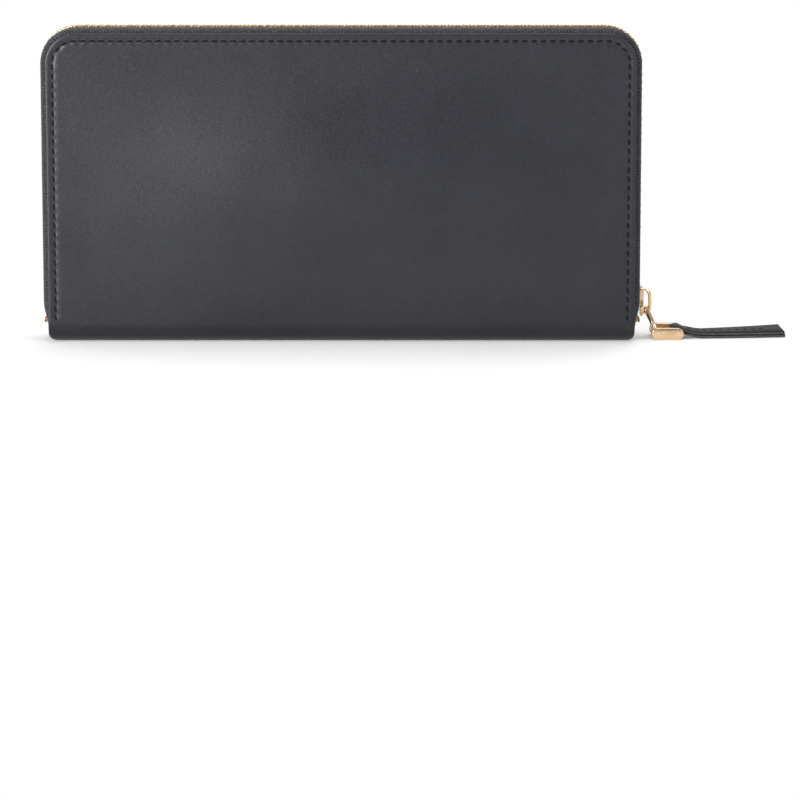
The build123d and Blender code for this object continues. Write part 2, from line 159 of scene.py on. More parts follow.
def sharpen(thing: bpy.types.Object, degrees: float) -> None:
    """Marks the sharp edges of a piece, so that smooth shading breaks there.

    Args:
        thing: the piece.
        degrees: the angle between two faces from which their edge is sharp.
    """
    limit = math.radians(degrees)
    with editing(thing.data) as form:
        for edge in form.edges:
            edge.smooth = len(edge.link_faces) != 2 or edge.calc_face_angle(0.0) < limit


def settle(piece: bpy.types.Object, body: str, node: str | None) -> None:
    """Fixes a made piece to its body and hides the CAD node that it replaces.

    Args:
        piece: the piece.
        body: the CAD body that it rides on.
        node: the CAD node that it replaces, or none.
    """
    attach(piece, body)
    if node:
        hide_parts(node)
    LOG.info("made %s", piece.name)


def circle(count: int) -> list[tuple[float, float]]:
    """The cosines and sines of a number of equal turns."""
    turns = [2 * math.pi * j / count for j in range(count)]
    return [(math.cos(a), math.sin(a)) for a in turns]


def held(t: float) -> float:
    """A number held between 0 and 1."""
    return min(max(t, 0.0), 1.0)


def smooth_step(t: float) -> float:
    """A smooth rise from 0 at 0 to 1 at 1."""
    return held(t) ** 2 * (3 - 2 * held(t))
def grow(
    tree: bpy.types.NodeTree,
    kind: str,
    settings: dict[str, object] | None = None,
    sockets: dict[str | int, object] | None = None,
) -> bpy.types.Node:
    """Adds one node to a tree.

    Args:
        tree: the shader or geometry tree.
        kind: the node's type name.
        settings: its own settings, which are set first.
        sockets: its inputs by name or number, as values, sockets or plain numbers.

    Returns:
        The node.
    """
    node = tree.nodes.new(kind)
    for name, item in (settings or {}).items():
        setattr(node, name, item)
    for place, item in (sockets or {}).items():
        if isinstance(item, Value):
            tree.links.new(item.socket, node.inputs[place])
        elif isinstance(item, bpy.types.NodeSocket):
            tree.links.new(item, node.inputs[place])
        else:
            node.inputs[place].default_value = item
    return node


class Value:
    """A shader value that adds and multiplies like a number."""

    def __init__(self, tree: bpy.types.NodeTree, socket: bpy.types.NodeSocket) -> None:
        """Wraps a socket of a tree."""
        self.tree = tree
        self.socket = socket

    def math(self, kind: str, *others: "Value | float") -> "Value":
        """Joins this value to others with a Math node.

        Args:
            kind: the Math node's operation.
            others: the values or numbers for its other inputs.

        Returns:
            The node's result.
        """
        sockets = dict(enumerate((self, *others)))
        node = grow(self.tree, "ShaderNodeMath", {"operation": kind}, sockets)
        return Value(self.tree, node.outputs[0])

    def __add__(self, other: "Value | float") -> "Value":
        """This plus other."""
        return self.math("ADD", other)

    __radd__ = __add__

    def __mul__(self, other: "Value | float") -> "Value":
        """This times other."""
        return self.math("MULTIPLY", other)

    __rmul__ = __mul__

    def __sub__(self, other: "Value | float") -> "Value":
        """This less other."""
        return self.math("SUBTRACT", other)

    def __rsub__(self, other: float) -> "Value":
        """Other less this."""
        return self.math("MULTIPLY", -1.0) + other

    def __truediv__(self, other: "Value | float") -> "Value":
        """This over other."""
        return self.math("DIVIDE", other)

    def __rtruediv__(self, other: float) -> "Value":
        """Other over this."""
        return self.math("POWER", -1.0) * other

    def sine(self) -> "Value":
        """The sine of this, in radians."""
        return self.math("SINE")

    def size(self) -> "Value":
        """This without its sign."""
        return self.math("ABSOLUTE")

    def part(self) -> "Value":
        """What is left after the whole number."""
        return self.math("FRACT")

    def wave(self, period: float) -> "Value":
        """A wave between 0 and 1 that repeats at a period."""
        return (self * (2 * math.pi / period)).sine() * 0.5 + 0.5

    def ramp(self, low: float, high: float) -> "Value":
        """A smooth rise from 0 at low to 1 at high.

        Args:
            low: where the rise starts.
            high: where it ends.

        Returns:
            The risen value, held between 0 and 1.
        """
        sockets = {"Value": self, "From Min": low, "From Max": high}
        node = grow(self.tree, "ShaderNodeMapRange", {"interpolation_type": "SMOOTHSTEP"}, sockets)
        return Value(self.tree, node.outputs["Result"])


class Dye:
    """A material being made, with its shader and helpers for its nodes."""

    def __init__(self, name: str) -> None:
        """Starts a material with one Principled shader.

        Args:
            name: the material's name.
        """
        self.material = bpy.data.materials.new(name)
        self.material.use_nodes = True
        self.tree = self.material.node_tree
        self.shader = self.tree.nodes["Principled BSDF"]

    def set(self, **inputs: float | Colour) -> None:
        """Sets plain numbers and colours on the shader's own sockets.

        Args:
            inputs: the values by socket, with underscores for the spaces in its name.
        """
        for name, item in inputs.items():
            value = (*item, 1.0) if isinstance(item, tuple) else item
            self.shader.inputs[name.replace("_", " ")].default_value = value

    def place(self) -> bpy.types.NodeSocket:
        """Object coordinates, in metres."""
        return grow(self.tree, "ShaderNodeTexCoord").outputs["Object"]

    def flat(self) -> bpy.types.NodeSocket:
        """The piece's own UV map, in metres."""
        return grow(self.tree, "ShaderNodeTexCoord").outputs["UV"]

    def split(self, socket: bpy.types.NodeSocket) -> tuple[Value, Value, Value]:
        """The three parts of a vector, in millimetres."""
        node = grow(self.tree, "ShaderNodeSeparateXYZ", {}, {"Vector": socket})
        return tuple(Value(self.tree, out) * PER_METRE for out in node.outputs)

    def noise(self, size: float, detail: float = 3.0) -> Value:
        """Soft noise in object coordinates.

        Args:
            size: the width of its patches in millimetres.
            detail: how many finer layers it has.

        Returns:
            The noise, about 0.3 to 0.7.
        """
        sockets = {"Vector": self.place(), "Scale": PER_METRE / size, "Detail": detail}
        node = grow(self.tree, "ShaderNodeTexNoise", {}, sockets)
        return Value(self.tree, node.outputs["Fac"])

    def cells(self, size: float) -> Value:
        """The distance to the nearest point of a scatter.

        Args:
            size: how far apart the points are, in millimetres.

        Returns:
            The distance, about 0 to 1.
        """
        sockets = {"Vector": self.place(), "Scale": PER_METRE / size}
        node = grow(self.tree, "ShaderNodeTexVoronoi", {}, sockets)
        return Value(self.tree, node.outputs["Distance"])

    def shade(self, factor: Value, dark: Colour, light: Colour) -> None:
        """Colours the surface between two colours.

        Args:
            factor: 0 for the dark one, 1 for the light one.
            dark: the first colour.
            light: the second colour.
        """
        sockets = {0: factor, 6: (*dark, 1.0), 7: (*light, 1.0)}
        node = grow(self.tree, "ShaderNodeMix", {"data_type": "RGBA"}, sockets)
        self.tree.links.new(node.outputs[2], self.shader.inputs["Base Color"])

    def gloss(self, value: Value) -> None:
        """Drives the roughness."""
        self.tree.links.new(value.socket, self.shader.inputs["Roughness"])

    def relief(self, height: Value, depth: float, strength: float = 1.0) -> None:
        """Raises the surface's shading by a height.

        Args:
            height: the pattern, about 0 to 1.
            depth: what a step of 1 stands for, in millimetres.
            strength: how much of it shows.
        """
        sockets = {"Height": height, "Strength": strength, "Distance": depth * MM}
        node = grow(self.tree, "ShaderNodeBump", {}, sockets)
        self.tree.links.new(node.outputs["Normal"], self.shader.inputs["Normal"])


@dataclass(frozen=True)
class Finish:
    """A finish that runs between two colours."""

    name: str
    dark: Colour
    light: Colour


@dataclass(frozen=True)
class Hide(Finish):
    """Smooth leather with a fine grain."""

    roughness: float = 0.40
    pore: float = 0.55
    specular: float = 0.45
    # painted shade: how much the leather is darkened towards its bottom, between the two heights below, where
    # the cover curves under
    burnish: float = 0.0
    burnish_ends: tuple[float, float] = (1.0, 24.0)
    coat: float = 0.08
    mottle: float = 26.0
    fleck: float = 0.9
    wrinkle: float = 2.2
    depth: float = 0.035

    def make(self) -> bpy.types.Material:
        """Builds the leather.

        Returns:
            The material.
        """
        dye = Dye(self.name)
        mottle = dye.noise(self.mottle, 4.0)
        fleck = dye.noise(self.fleck)
        pores = dye.cells(self.pore)
        tone = (mottle * 0.45 + fleck * 0.55).ramp(0.34, 0.66)
        # Painted shade: the colour is darkened towards the bottom, where the cover curves under away from the
        # lamps.
        if self.burnish:
            _, _, z = dye.split(dye.place())
            tone = tone * (1.0 - self.burnish) + z.ramp(*self.burnish_ends) * self.burnish
        dye.shade(tone, self.dark, self.light)
        dye.gloss(self.roughness + (mottle - 0.5) * 0.10 + (fleck - 0.5) * 0.12)
        dye.relief(pores * 0.6 + dye.noise(self.wrinkle, 4.0) * 0.7, self.depth)
        dye.set(Specular_IOR_Level=self.specular, Coat_Weight=self.coat, Coat_Roughness=0.32)
        return dye.material


@dataclass(frozen=True)
class RawEdge(Finish):
    """The cut and painted edge of leather, with its layers showing."""

    layer: float = 0.5
    depth: float = 0.08

    def make(self) -> bpy.types.Material:
        """Builds the edge.

        Returns:
            The material.
        """
        dye = Dye(self.name)
        streak = dye.noise(self.layer, 4.0)
        dye.shade(streak.ramp(0.35, 0.65), self.dark, self.light)
        dye.gloss(0.62 + streak * 0.2)
        dye.relief(streak, self.depth)
        return dye.material


@dataclass(frozen=True)
class ZipTape(Finish):
    """Zip tape in a herringbone weave, laid out on its own UV map."""

    rib: float = 2.1
    twill: float = 1.05
    yarn: float = 0.38
    depth: float = 0.26

    def make(self) -> bpy.types.Material:
        """Builds the weave.

        Returns:
            The material.
        """
        dye = Dye(self.name)
        along, across, _ = dye.split(dye.flat())
        fold = ((across / (2 * self.rib)).part() - 0.5).size() * (2 * self.rib)
        height = (along + fold).wave(self.twill) * 0.8 + across.wave(self.yarn) * 0.2
        speck = dye.noise(0.42, 2.0).ramp(0.50, 0.72)
        dye.shade((height * 0.55 + speck * 0.6).ramp(0.1, 1.0), self.dark, self.light)
        dye.gloss(0.86 - height * 0.12)
        dye.relief(height + dye.noise(0.25, 2.0) * 0.3, self.depth)
        dye.set(Specular_IOR_Level=0.25, Sheen_Weight=0.12, Sheen_Roughness=0.5)
        return dye.material


@dataclass(frozen=True)
class Metal(Finish):
    """Plated metal, from bright gilt to dulled brass."""

    roughness: float
    wear: float

    def make(self) -> bpy.types.Material:
        """Builds the metal.

        Returns:
            The material.
        """
        dye = Dye(self.name)
        patch = dye.noise(2.6, 4.0)
        fine = dye.noise(0.35)
        tone = (patch * 0.6 + fine * 0.4).ramp(0.5 - 0.5 * self.wear, 0.75)
        dye.shade(tone, self.dark, self.light)
        dulled = (patch - 0.5) * 0.3 * self.wear + (fine - 0.5) * 0.25 * self.wear
        dye.gloss(self.roughness + dulled)
        dye.relief(fine, 0.010 * self.wear)
        dye.set(Metallic=1.0)
        return dye.material


@dataclass(frozen=True)
class Thread(Finish):
    """Waxed sewing thread with its twist."""

    twist: float = 0.55

    def make(self) -> bpy.types.Material:
        """Builds the thread.

        Returns:
            The material.
        """
        dye = Dye(self.name)
        x, y, z = dye.split(dye.place())
        twist = (x + y * 0.7 + z).wave(self.twist)
        dye.shade(twist, self.dark, self.light)
        dye.gloss(0.7 + twist * 0.2)
        dye.relief(twist, 0.05)
        dye.set(Specular_IOR_Level=0.12)
        return dye.material


@dataclass(frozen=True)
class Cloth(Finish):
    """Plain woven lining."""

    yarn: float = 0.42

    def make(self) -> bpy.types.Material:
        """Builds the weave.

        Returns:
            The material.
        """
        dye = Dye(self.name)
        x, y, z = dye.split(dye.place())
        turns = 2 * math.pi / self.yarn
        weave = (x * turns).sine() * ((z + y) * turns).sine() * 0.5 + 0.5
        dye.shade((weave * 0.6 + dye.noise(5.0) * 0.4).ramp(0.2, 0.8), self.dark, self.light)
        dye.gloss(0.8 - weave * 0.1)
        dye.relief(weave, 0.08)
        dye.set(Sheen_Weight=0.1)
        return dye.material


class Finishes:
    """Every finish of the wallet, made once."""

    def __init__(self) -> None:
        """Makes the materials."""
        dark, light = (0.0030, 0.0034, 0.0054), (0.0116, 0.0123, 0.0172)
        # The cover leather carries painted shade, darker towards its bottom edge.
        self.cover = Hide("cover_leather", dark, light, roughness=0.39, specular=0.37, burnish=0.6).make()
        dark, light = (0.021, 0.0215, 0.024), (0.028, 0.029, 0.032)
        self.inner = Hide("inner_leather", dark, light, roughness=0.5).make()
        dark, light = (0.0050, 0.0064, 0.0062), (0.0105, 0.0125, 0.0120)
        strap = Hide("strap_leather", dark, light, roughness=0.62, pore=0.4, specular=0.12, coat=0.0)
        self.strap = strap.make()
        self.edge = RawEdge("painted_edge", (0.018, 0.018, 0.020), (0.042, 0.042, 0.046)).make()
        self.raw = RawEdge("strap_raw_edge", (0.012, 0.012, 0.012), (0.055, 0.054, 0.051)).make()
        self.tape = ZipTape("zip_tape", (0.0045, 0.0045, 0.0055), (0.078, 0.078, 0.086)).make()
        dark, light = (0.055, 0.038, 0.018), (0.70, 0.51, 0.26)
        self.brass = Metal("old_brass", dark, light, roughness=0.27, wear=0.9).make()
        dark, light = (0.70, 0.49, 0.29), (0.88, 0.67, 0.43)
        self.gilt = Metal("champagne_gilt", dark, light, roughness=0.20, wear=0.25).make()
        self.thread = Thread("black_thread", (0.0025, 0.0025, 0.003), (0.010, 0.010, 0.011)).make()
        self.lining = Cloth("lining_cloth", (0.022, 0.021, 0.020), (0.050, 0.047, 0.044)).make()
        self.board = Cloth("stiffener_board", (0.20, 0.17, 0.13), (0.30, 0.26, 0.20), yarn=0.9).make()


@dataclass
class Rim:
    """The line that the zip follows: up the left end, over the top, down the right end."""

    half: float
    top: float
    radius: float
    foot_left: float
    foot_right: float

    def length(self) -> float:
        """The line's whole length in millimetres."""
        rise = 2 * (self.top - self.radius) - self.foot_left - self.foot_right
        return rise + math.pi * self.radius + 2 * (self.half - self.radius)

    def at(self, s: float) -> tuple[float, float, float, float]:
        """A place on the line.

        Args:
            s: the distance from its left foot, in millimetres.

        Returns:
            x, z and the outward normal's x and z.
        """
        rise = self.top - self.radius - self.foot_left
        bend = math.pi / 2 * self.radius
        flat = 2 * (self.half - self.radius)
        corner = self.half - self.radius
        if s <= rise:
            return -self.half, self.foot_left + s, -1.0, 0.0
        if s <= rise + bend:
            a = math.pi - (s - rise) / self.radius
            x, z = math.cos(a), math.sin(a)
            return -corner + self.radius * x, self.top - self.radius + self.radius * z, x, z
        if s <= rise + bend + flat:
            return s - rise - bend - corner, self.top, 0.0, 1.0
        if s <= rise + 2 * bend + flat:
            a = math.pi / 2 - (s - rise - bend - flat) / self.radius
            x, z = math.cos(a), math.sin(a)
            return corner + self.radius * x, self.top - self.radius + self.radius * z, x, z
        return self.half, self.top - self.radius - (s - rise - 2 * bend - flat), 1.0, 0.0

    def samples(self, step: float) -> list[tuple[float, float, float, float, float]]:
        """Places about a step apart.

        Args:
            step: the distance between two places, in millimetres.

        Returns:
            The places as at() gives them, each with its distance last.
        """
        count = max(2, round(self.length() / step))
        spots = [self.length() * i / count for i in range(count + 1)]
        return [(*self.at(s), s) for s in spots]


class Maker:
    """Mesh building shared by the sub-assemblies."""

    weld = 1e-7
    cad_weld = 2e-6
    wedge_half = 0.42
    bevel_angle = 40.0
    bevel_crease = 50.0

    def __init__(self, finishes: Finishes) -> None:
        """Keeps the finishes and the tree for rows."""
        self.finishes = finishes
        self.tree = self.row_tree()

    def solid(
        self,
        name: str,
        points: list[tuple[float, ...]] | np.ndarray,
        faces: list[Face],
        finish: bpy.types.Material,
    ) -> bpy.types.Object:
        """A smooth mesh object from points in millimetres, its normals turned outwards.

        Args:
            name: the piece's name.
            points: its corners.
            faces: its faces as corner numbers.
            finish: its material.

        Returns:
            The object, at the origin.
        """
        mesh = bpy.data.meshes.new(name)
        mesh.from_pydata((np.asarray(points) * MM).tolist(), [], faces)
        with editing(mesh) as form:
            bmesh.ops.remove_doubles(form, verts=form.verts, dist=self.weld)
            bmesh.ops.recalc_face_normals(form, faces=form.faces)
        mesh.materials.append(finish)
        soften(mesh)
        return put(name, mesh)

    def eased(
        self,
        node: str,
        name: str,
        body: str,
        width: float,
        finish: bpy.types.Material,
        wedge: tuple[float, float] | None = None,
        slot: Slot | None = None,
    ) -> bpy.types.Object:
        """A copy of a CAD node with its edges rounded over, which stands for it.

        Args:
            node: the CAD node.
            name: the piece's name.
            body: the CAD body it rides on.
            width: how far the rounding reaches, in millimetres.
            finish: its material.
            wedge: the X between which a slider's inner wedge is left out, so that closed teeth pass.
            slot: not used.

        Returns:
            The piece.
        """
        mesh = NODES[node].data.copy()
        with editing(mesh) as form:
            bmesh.ops.remove_doubles(form, verts=form.verts, dist=self.cad_weld)
            if wedge:
                inner = [f for f in form.faces if wedge[0] < f.calc_center_median().x / MM < wedge[1]]
                inner = [f for f in inner if all(abs(v.co.y) < self.wedge_half * MM for v in f.verts)]
                bmesh.ops.delete(form, geom=inner, context="FACES")
                bmesh.ops.holes_fill(form, edges=[e for e in form.edges if e.is_boundary], sides=12)
                bmesh.ops.recalc_face_normals(form, faces=form.faces)
            bmesh.ops.dissolve_limit(form, angle_limit=math.radians(2), verts=form.verts, edges=form.edges)
        mesh.materials.clear()
        mesh.materials.append(finish)
        soften(mesh)
        thing = put(name, mesh)
        bevel = thing.modifiers.new("ease", "BEVEL")
        bevel.width = width * MM
        bevel.segments = 3
        bevel.limit_method = "ANGLE"
        bevel.angle_limit = math.radians(self.bevel_angle)
        bevel.use_clamp_overlap = True
        bake(thing)
        sharpen(thing, self.bevel_crease)
        settle(thing, body, node)
        return thing

    def row_tree(self) -> bpy.types.NodeTree:
        """The node tree that sets a unit along a line at a pitch.

        Returns:
            The tree, with the line as its first input.
        """
        tree = bpy.data.node_groups.new("set_along_line", "GeometryNodeTree")
        kinds = {
            "Line": "Geometry", "Unit": "Object", "Pitch": "Float",
            "Wobble": "Float", "Seed": "Int", "Finish": "Material",
        }
        for name, kind in kinds.items():
            tree.interface.new_socket(name, in_out="INPUT", socket_type=f"NodeSocket{kind}")
        tree.interface.new_socket("Row", in_out="OUTPUT", socket_type="NodeSocketGeometry")
        start = grow(tree, "NodeGroupInput").outputs
        curve = grow(tree, "GeometryNodeMeshToCurve", {}, {"Mesh": start["Line"]})
        sockets = {"Curve": curve.outputs[0], "Length": start["Pitch"]}
        spots = grow(tree, "GeometryNodeCurveToPoints", {"mode": "LENGTH"}, sockets)
        axes = {"axis": "X", "pivot_axis": "Y"}
        turn = grow(tree, "FunctionNodeAlignRotationToVector", axes, {"Vector": spots.outputs["Tangent"]})
        least = grow(tree, "ShaderNodeMath", {"operation": "MULTIPLY"}, {0: start["Wobble"], 1: -1.0})
        sockets = {"Min": least.outputs[0], "Max": start["Wobble"], "Seed": start["Seed"]}
        shake = grow(tree, "FunctionNodeRandomValue", {"data_type": "FLOAT_VECTOR"}, sockets)
        euler = grow(tree, "FunctionNodeEulerToRotation", {}, {0: shake.outputs["Value"]})
        sockets = {0: turn.outputs[0], 1: euler.outputs[0]}
        both = grow(tree, "FunctionNodeRotateRotation", {"rotation_space": "LOCAL"}, sockets)
        unit = grow(tree, "GeometryNodeObjectInfo", {}, {"Object": start["Unit"]})
        sockets = {
            "Points": spots.outputs["Points"],
            "Instance": unit.outputs["Geometry"],
            "Rotation": both.outputs[0],
        }
        place = grow(tree, "GeometryNodeInstanceOnPoints", {}, sockets)
        real = grow(tree, "GeometryNodeRealizeInstances", {}, {0: place.outputs[0]})
        sockets = {"Geometry": real.outputs[0], "Material": start["Finish"]}
        dressed = grow(tree, "GeometryNodeSetMaterial", {}, sockets)
        grow(tree, "NodeGroupOutput", {}, {"Row": dressed.outputs[0]})
        return tree

    def row(
        self,
        name: str,
        line: list[tuple[float, float, float]],
        unit: bpy.types.Object,
        pitch: float,
        finish: bpy.types.Material,
        wobble: float = 0.02,
        seed: int = 1,
    ) -> bpy.types.Object:
        """Bakes a row of a unit along a line of points in millimetres.

        Args:
            name: the piece's name.
            line: the points of the line.
            unit: the object that is repeated, lying along X, which is used up.
            pitch: the distance from one to the next, in millimetres.
            finish: the row's material.
            wobble: how far each may turn at random, in radians.
            seed: the random seed.

        Returns:
            The plain mesh object.
        """
        mesh = bpy.data.meshes.new(name)
        steps = [(i, i + 1) for i in range(len(line) - 1)]
        mesh.from_pydata([tuple(c * MM for c in p) for p in line], steps, [])
        thing = put(name, mesh)
        step = thing.modifiers.new("row", "NODES")
        step.node_group = self.tree
        values = {"Unit": unit, "Pitch": pitch * MM, "Wobble": wobble, "Seed": seed, "Finish": finish}
        for item in self.tree.interface.items_tree:
            if item.in_out == "INPUT" and item.name in values:
                step[item.identifier] = values[item.name]
        bake(thing)
        soften(thing.data)
        drop(unit)
        return thing


def hull_quads(rings: int, around: int) -> list[Face]:
    """Faces of a tube of rings of corners, with both ends closed.

    Args:
        rings: the number of rings.
        around: the corners in a ring.

    Returns:
        The faces.
    """
    faces: list[Face] = []
    for i in range(rings - 1):
        for j in range(around):
            k = (j + 1) % around
            faces.append((i * around + j, i * around + k, (i + 1) * around + k, (i + 1) * around + j))
    faces.append(tuple(range(around))[::-1])
    faces.append(tuple((rings - 1) * around + j for j in range(around)))
    return faces


def smooth_line(line: list[Vector]) -> list[Vector]:
    """Adds points between those of a line, so that it runs in one smooth curve.

    Args:
        line: the points that it passes through.

    Returns:
        The finer line.
    """
    fine = []
    for i in range(len(line) - 1):
        a, b = line[max(i - 1, 0)], line[i]
        c, d = line[i + 1], line[min(i + 2, len(line) - 1)]
        for t in (0.0, 0.33, 0.67):
            bow = (c - a) * t + (a * 2 - b * 5 + c * 4 - d) * t * t + (b * 3 - a - c * 3 + d) * t**3
            fine.append(b + bow * 0.5)
    fine.append(line[-1])
    return fine


@dataclass
class Covers:
    """The leather shell: both covers, the fold that the front turns on, and the spine."""

    make: Maker
    half: float = HALF_LENGTH
    top: float = TOP
    corner: float = CORNER
    ease: float = 16.0
    face: float = 12.3
    wall: float = 1.5
    least_wall: float = 0.3
    spine_radius: float = 6.5
    front_swell: float = 4.0
    back_swell: float = 3.4
    round_over: float = 0.55
    seam: float = 2.5
    seam_width: float = 0.55
    seam_sink: float = 0.42
    pitch: float = STITCH_PITCH
    grid: float = 0.8
    crease: float = 55.0
    painted: float = 0.12
    foot: float = 3.0
    window: tuple[float, float, float, float] = (-80.0, 80.0, 72.95, 82.25)
    patch_half: float = 92.4
    patch_low: float = 9.6
    patch_high: float = 57.0
    patch_bow: float = 3.6
    patch_wall: float = 0.5
    patch_round: float = 0.35

    def inset(self, x: np.ndarray, z: np.ndarray) -> np.ndarray:
        """How far points lie inside the outline's sides and top.

        Args:
            x: their places along the wallet.
            z: their heights.

        Returns:
            The distances to the nearest edge, none to the bottom.
        """
        qx = np.abs(x) - (self.half - self.corner)
        qz = z - (self.top - self.corner)
        both = np.hypot(np.maximum(qx, 0), np.maximum(qz, 0))
        return self.corner - both - np.minimum(np.maximum(qx, qz), 0)

    def swell(self, side: Side, x: np.ndarray, z: np.ndarray) -> np.ndarray:
        """How far a cover bulges outwards.

        Args:
            side: which cover.
            x: places along the wallet.
            z: heights.

        Returns:
            The bulge in millimetres.
        """
        low, high = (12.0, 93.0) if side is Side.FRONT else (12.0, 69.0)
        rise = self.front_swell if side is Side.FRONT else self.back_swell
        u = np.clip(x / (self.half - 9.0), -1, 1)
        v = np.clip((z - (low + high) / 2) / ((high - low) / 2), -1, 1)
        lazy = 0.10 * np.sin(x / 23.0 + 1.1) * np.sin(z / 17.0 + 0.4)
        return (rise + lazy) * (1 - u * u) ** 2 * (1 - v * v) ** 2

    def spots(self, low: float, high: float, marks: list[float]) -> list[float]:
        """Grid places between two ends, close together near them.

        Args:
            low: the first end, in millimetres.
            high: the second end.
            marks: places that the grid has to hold exactly.

        Returns:
            The places in order.
        """
        near = [0.0, 0.08, 0.2, 0.38, 0.6, 1.0, 1.5]
        places = {round(low + d, 4) for d in near} | {round(high - d, 4) for d in near}
        inner = high - low - 2 * near[-1]
        count = round(inner / self.grid)
        places |= {round(low + near[-1] + inner * i / count, 4) for i in range(count + 1)}
        kept = sorted(places | {round(m, 4) for m in marks})
        return [p for i, p in enumerate(kept) if i == 0 or p - kept[i - 1] > 0.05 or p in marks]

    def panel(self, side: Side) -> bpy.types.Object:
        """One cover as a closed slab with a rounded rim, a sunk seam and a soft bulge.

        Args:
            side: which cover.

        Returns:
            The piece.
        """
        hole = side is Side.BACK
        wx0, wx1, wz0, wz1 = self.window
        rows = self.spots(self.spine_radius, self.top, [wz0, wz1] if hole else [])
        rows = [r for r in rows if r < self.spine_radius + 0.01 or r > self.spine_radius + 0.7]
        cols = self.spots(-self.half, self.half, [wx0, wx1] if hole else [])
        zs = np.array(rows)
        drop = np.maximum(zs - (self.top - self.corner), 0)
        narrow = self.corner - np.sqrt(np.maximum(self.corner**2 - drop**2, 0))
        xs = np.array(cols)
        reach = np.clip((np.abs(xs) - (self.half - self.ease)) / self.ease, 0, 1)
        x = xs[None, :] - np.sign(xs)[None, :] * reach[None, :] * narrow[:, None]
        z = np.repeat(zs[:, None], len(xs), 1)
        d = np.maximum(self.inset(x, z), 0)
        r = self.round_over
        edge = np.where(d < r, r - np.sqrt(np.maximum(r * r - (r - d) ** 2, 0)), 0)
        run = np.where(z > self.top - self.corner, x, z)
        pull = 0.6 + 0.4 * np.cos(2 * np.pi * run / self.pitch)
        groove = self.seam_sink * np.exp(-(((d - self.seam) / self.seam_width) ** 2)) * pull
        groove = np.where(z < self.spine_radius + 2, groove * (z - self.spine_radius) / 2, groove)
        outer = self.face + self.swell(side, x, z) - edge - groove
        inner = self.face - self.wall + self.swell(side, x, z) * 0.9
        inner = np.minimum(inner, outer - self.least_wall)
        keep = np.ones((len(zs) - 1, len(xs) - 1), bool)
        if hole:
            mz, mx = (zs[1:] + zs[:-1]) / 2, (xs[1:] + xs[:-1]) / 2
            keep &= ~(((mz > wz0) & (mz < wz1))[:, None] & ((mx > wx0) & (mx < wx1))[None, :])
        thing = self.slab(f"{side.word}_cover_leather", side, (x, z, outer, inner), keep)
        thing.data.materials.append(self.make.finishes.edge)
        for face in thing.data.polygons:
            x0, _, z0 = (c / MM for c in face.center)
            rim = float(self.inset(np.array(x0), np.array(z0))) < self.painted
            rim = rim and z0 > self.spine_radius + 0.1
            face.material_index = int(rim and abs(face.normal.y) < 0.75)
        sharpen(thing, self.crease)
        settle(thing, side.body, f"{side.word}_cover")
        return thing

    def slab(self, name: str, side: Side, sheet: Sheet, keep: np.ndarray) -> bpy.types.Object:
        """A closed slab over a grid.

        Args:
            name: the piece's name.
            side: the half that it lies on.
            sheet: the grid's x, z, outer and inner distances from the middle.
            keep: which cells of the grid are there.

        Returns:
            The piece.
        """
        x, z, outer, inner = sheet
        skin = np.stack([x, side.value * outer, z], -1).reshape(-1, 3)
        lining = np.stack([x, side.value * inner, z], -1).reshape(-1, 3)
        nz, nx = x.shape
        count = nz * nx
        faces: list[Face] = []
        for i, j in zip(*np.nonzero(keep)):
            a, b, c, e = i * nx + j, i * nx + j + 1, (i + 1) * nx + j + 1, (i + 1) * nx + j
            faces += [(a, b, c, e), (a + count, e + count, c + count, b + count)]
            for p, q, ni, nj in ((a, b, i - 1, j), (b, c, i, j + 1), (c, e, i + 1, j), (e, a, i, j - 1)):
                inside = 0 <= ni < nz - 1 and 0 <= nj < nx - 1 and keep[ni, nj]
                if not inside:
                    faces.append((q, p, p + count, q + count))
        faces = [tuple(int(k) for k in f) for f in faces]
        thing = self.make.solid(name, np.vstack([skin, lining]), faces, self.make.finishes.cover)
        with editing(thing.data) as form:
            bmesh.ops.delete(form, geom=[v for v in form.verts if not v.link_faces], context="VERTS")
        return thing

    def slip_panel(self) -> bpy.types.Object:
        """The patch of a slip pocket low on the back, with a bowed open edge along its top.

        Returns:
            The piece.
        """
        half, low, soft = self.patch_half, self.patch_low, self.patch_round
        near = np.array([0.0, 0.05, 0.14, 0.26, 0.36, 0.8])
        margin = 1.6
        wide = np.linspace(-half + margin, half - margin, 150)
        cols = np.array(sorted({*(-half + near), *(half - near), *wide}))
        high = self.patch_high + self.patch_bow * (1 - np.abs(cols / half) ** 5)
        tops = high[:, None]
        mid = np.linspace(0.0, 1.0, 48)[None, :]
        middle = (low + margin) + mid * (tops - low - 2 * margin)
        tall = np.concatenate([low + 0 * tops + near, middle, tops - near[::-1]], 1).T
        x = np.repeat(cols[None, :], tall.shape[0], 0)
        d = np.minimum(np.minimum(half - np.abs(x), high[None, :] - tall), tall - low)
        d = np.clip(d, 0, soft)
        skin = self.face + self.swell(Side.BACK, x, tall)
        outer = skin + self.patch_wall - (soft - np.sqrt(soft**2 - (soft - d) ** 2))
        keep = np.ones((x.shape[0] - 1, x.shape[1] - 1), bool)
        thing = self.slab("back_slip_pocket_leather", Side.BACK, (x, tall, outer, skin - 0.12), keep)
        sharpen(thing, self.crease)
        settle(thing, "back_half", None)
        return thing

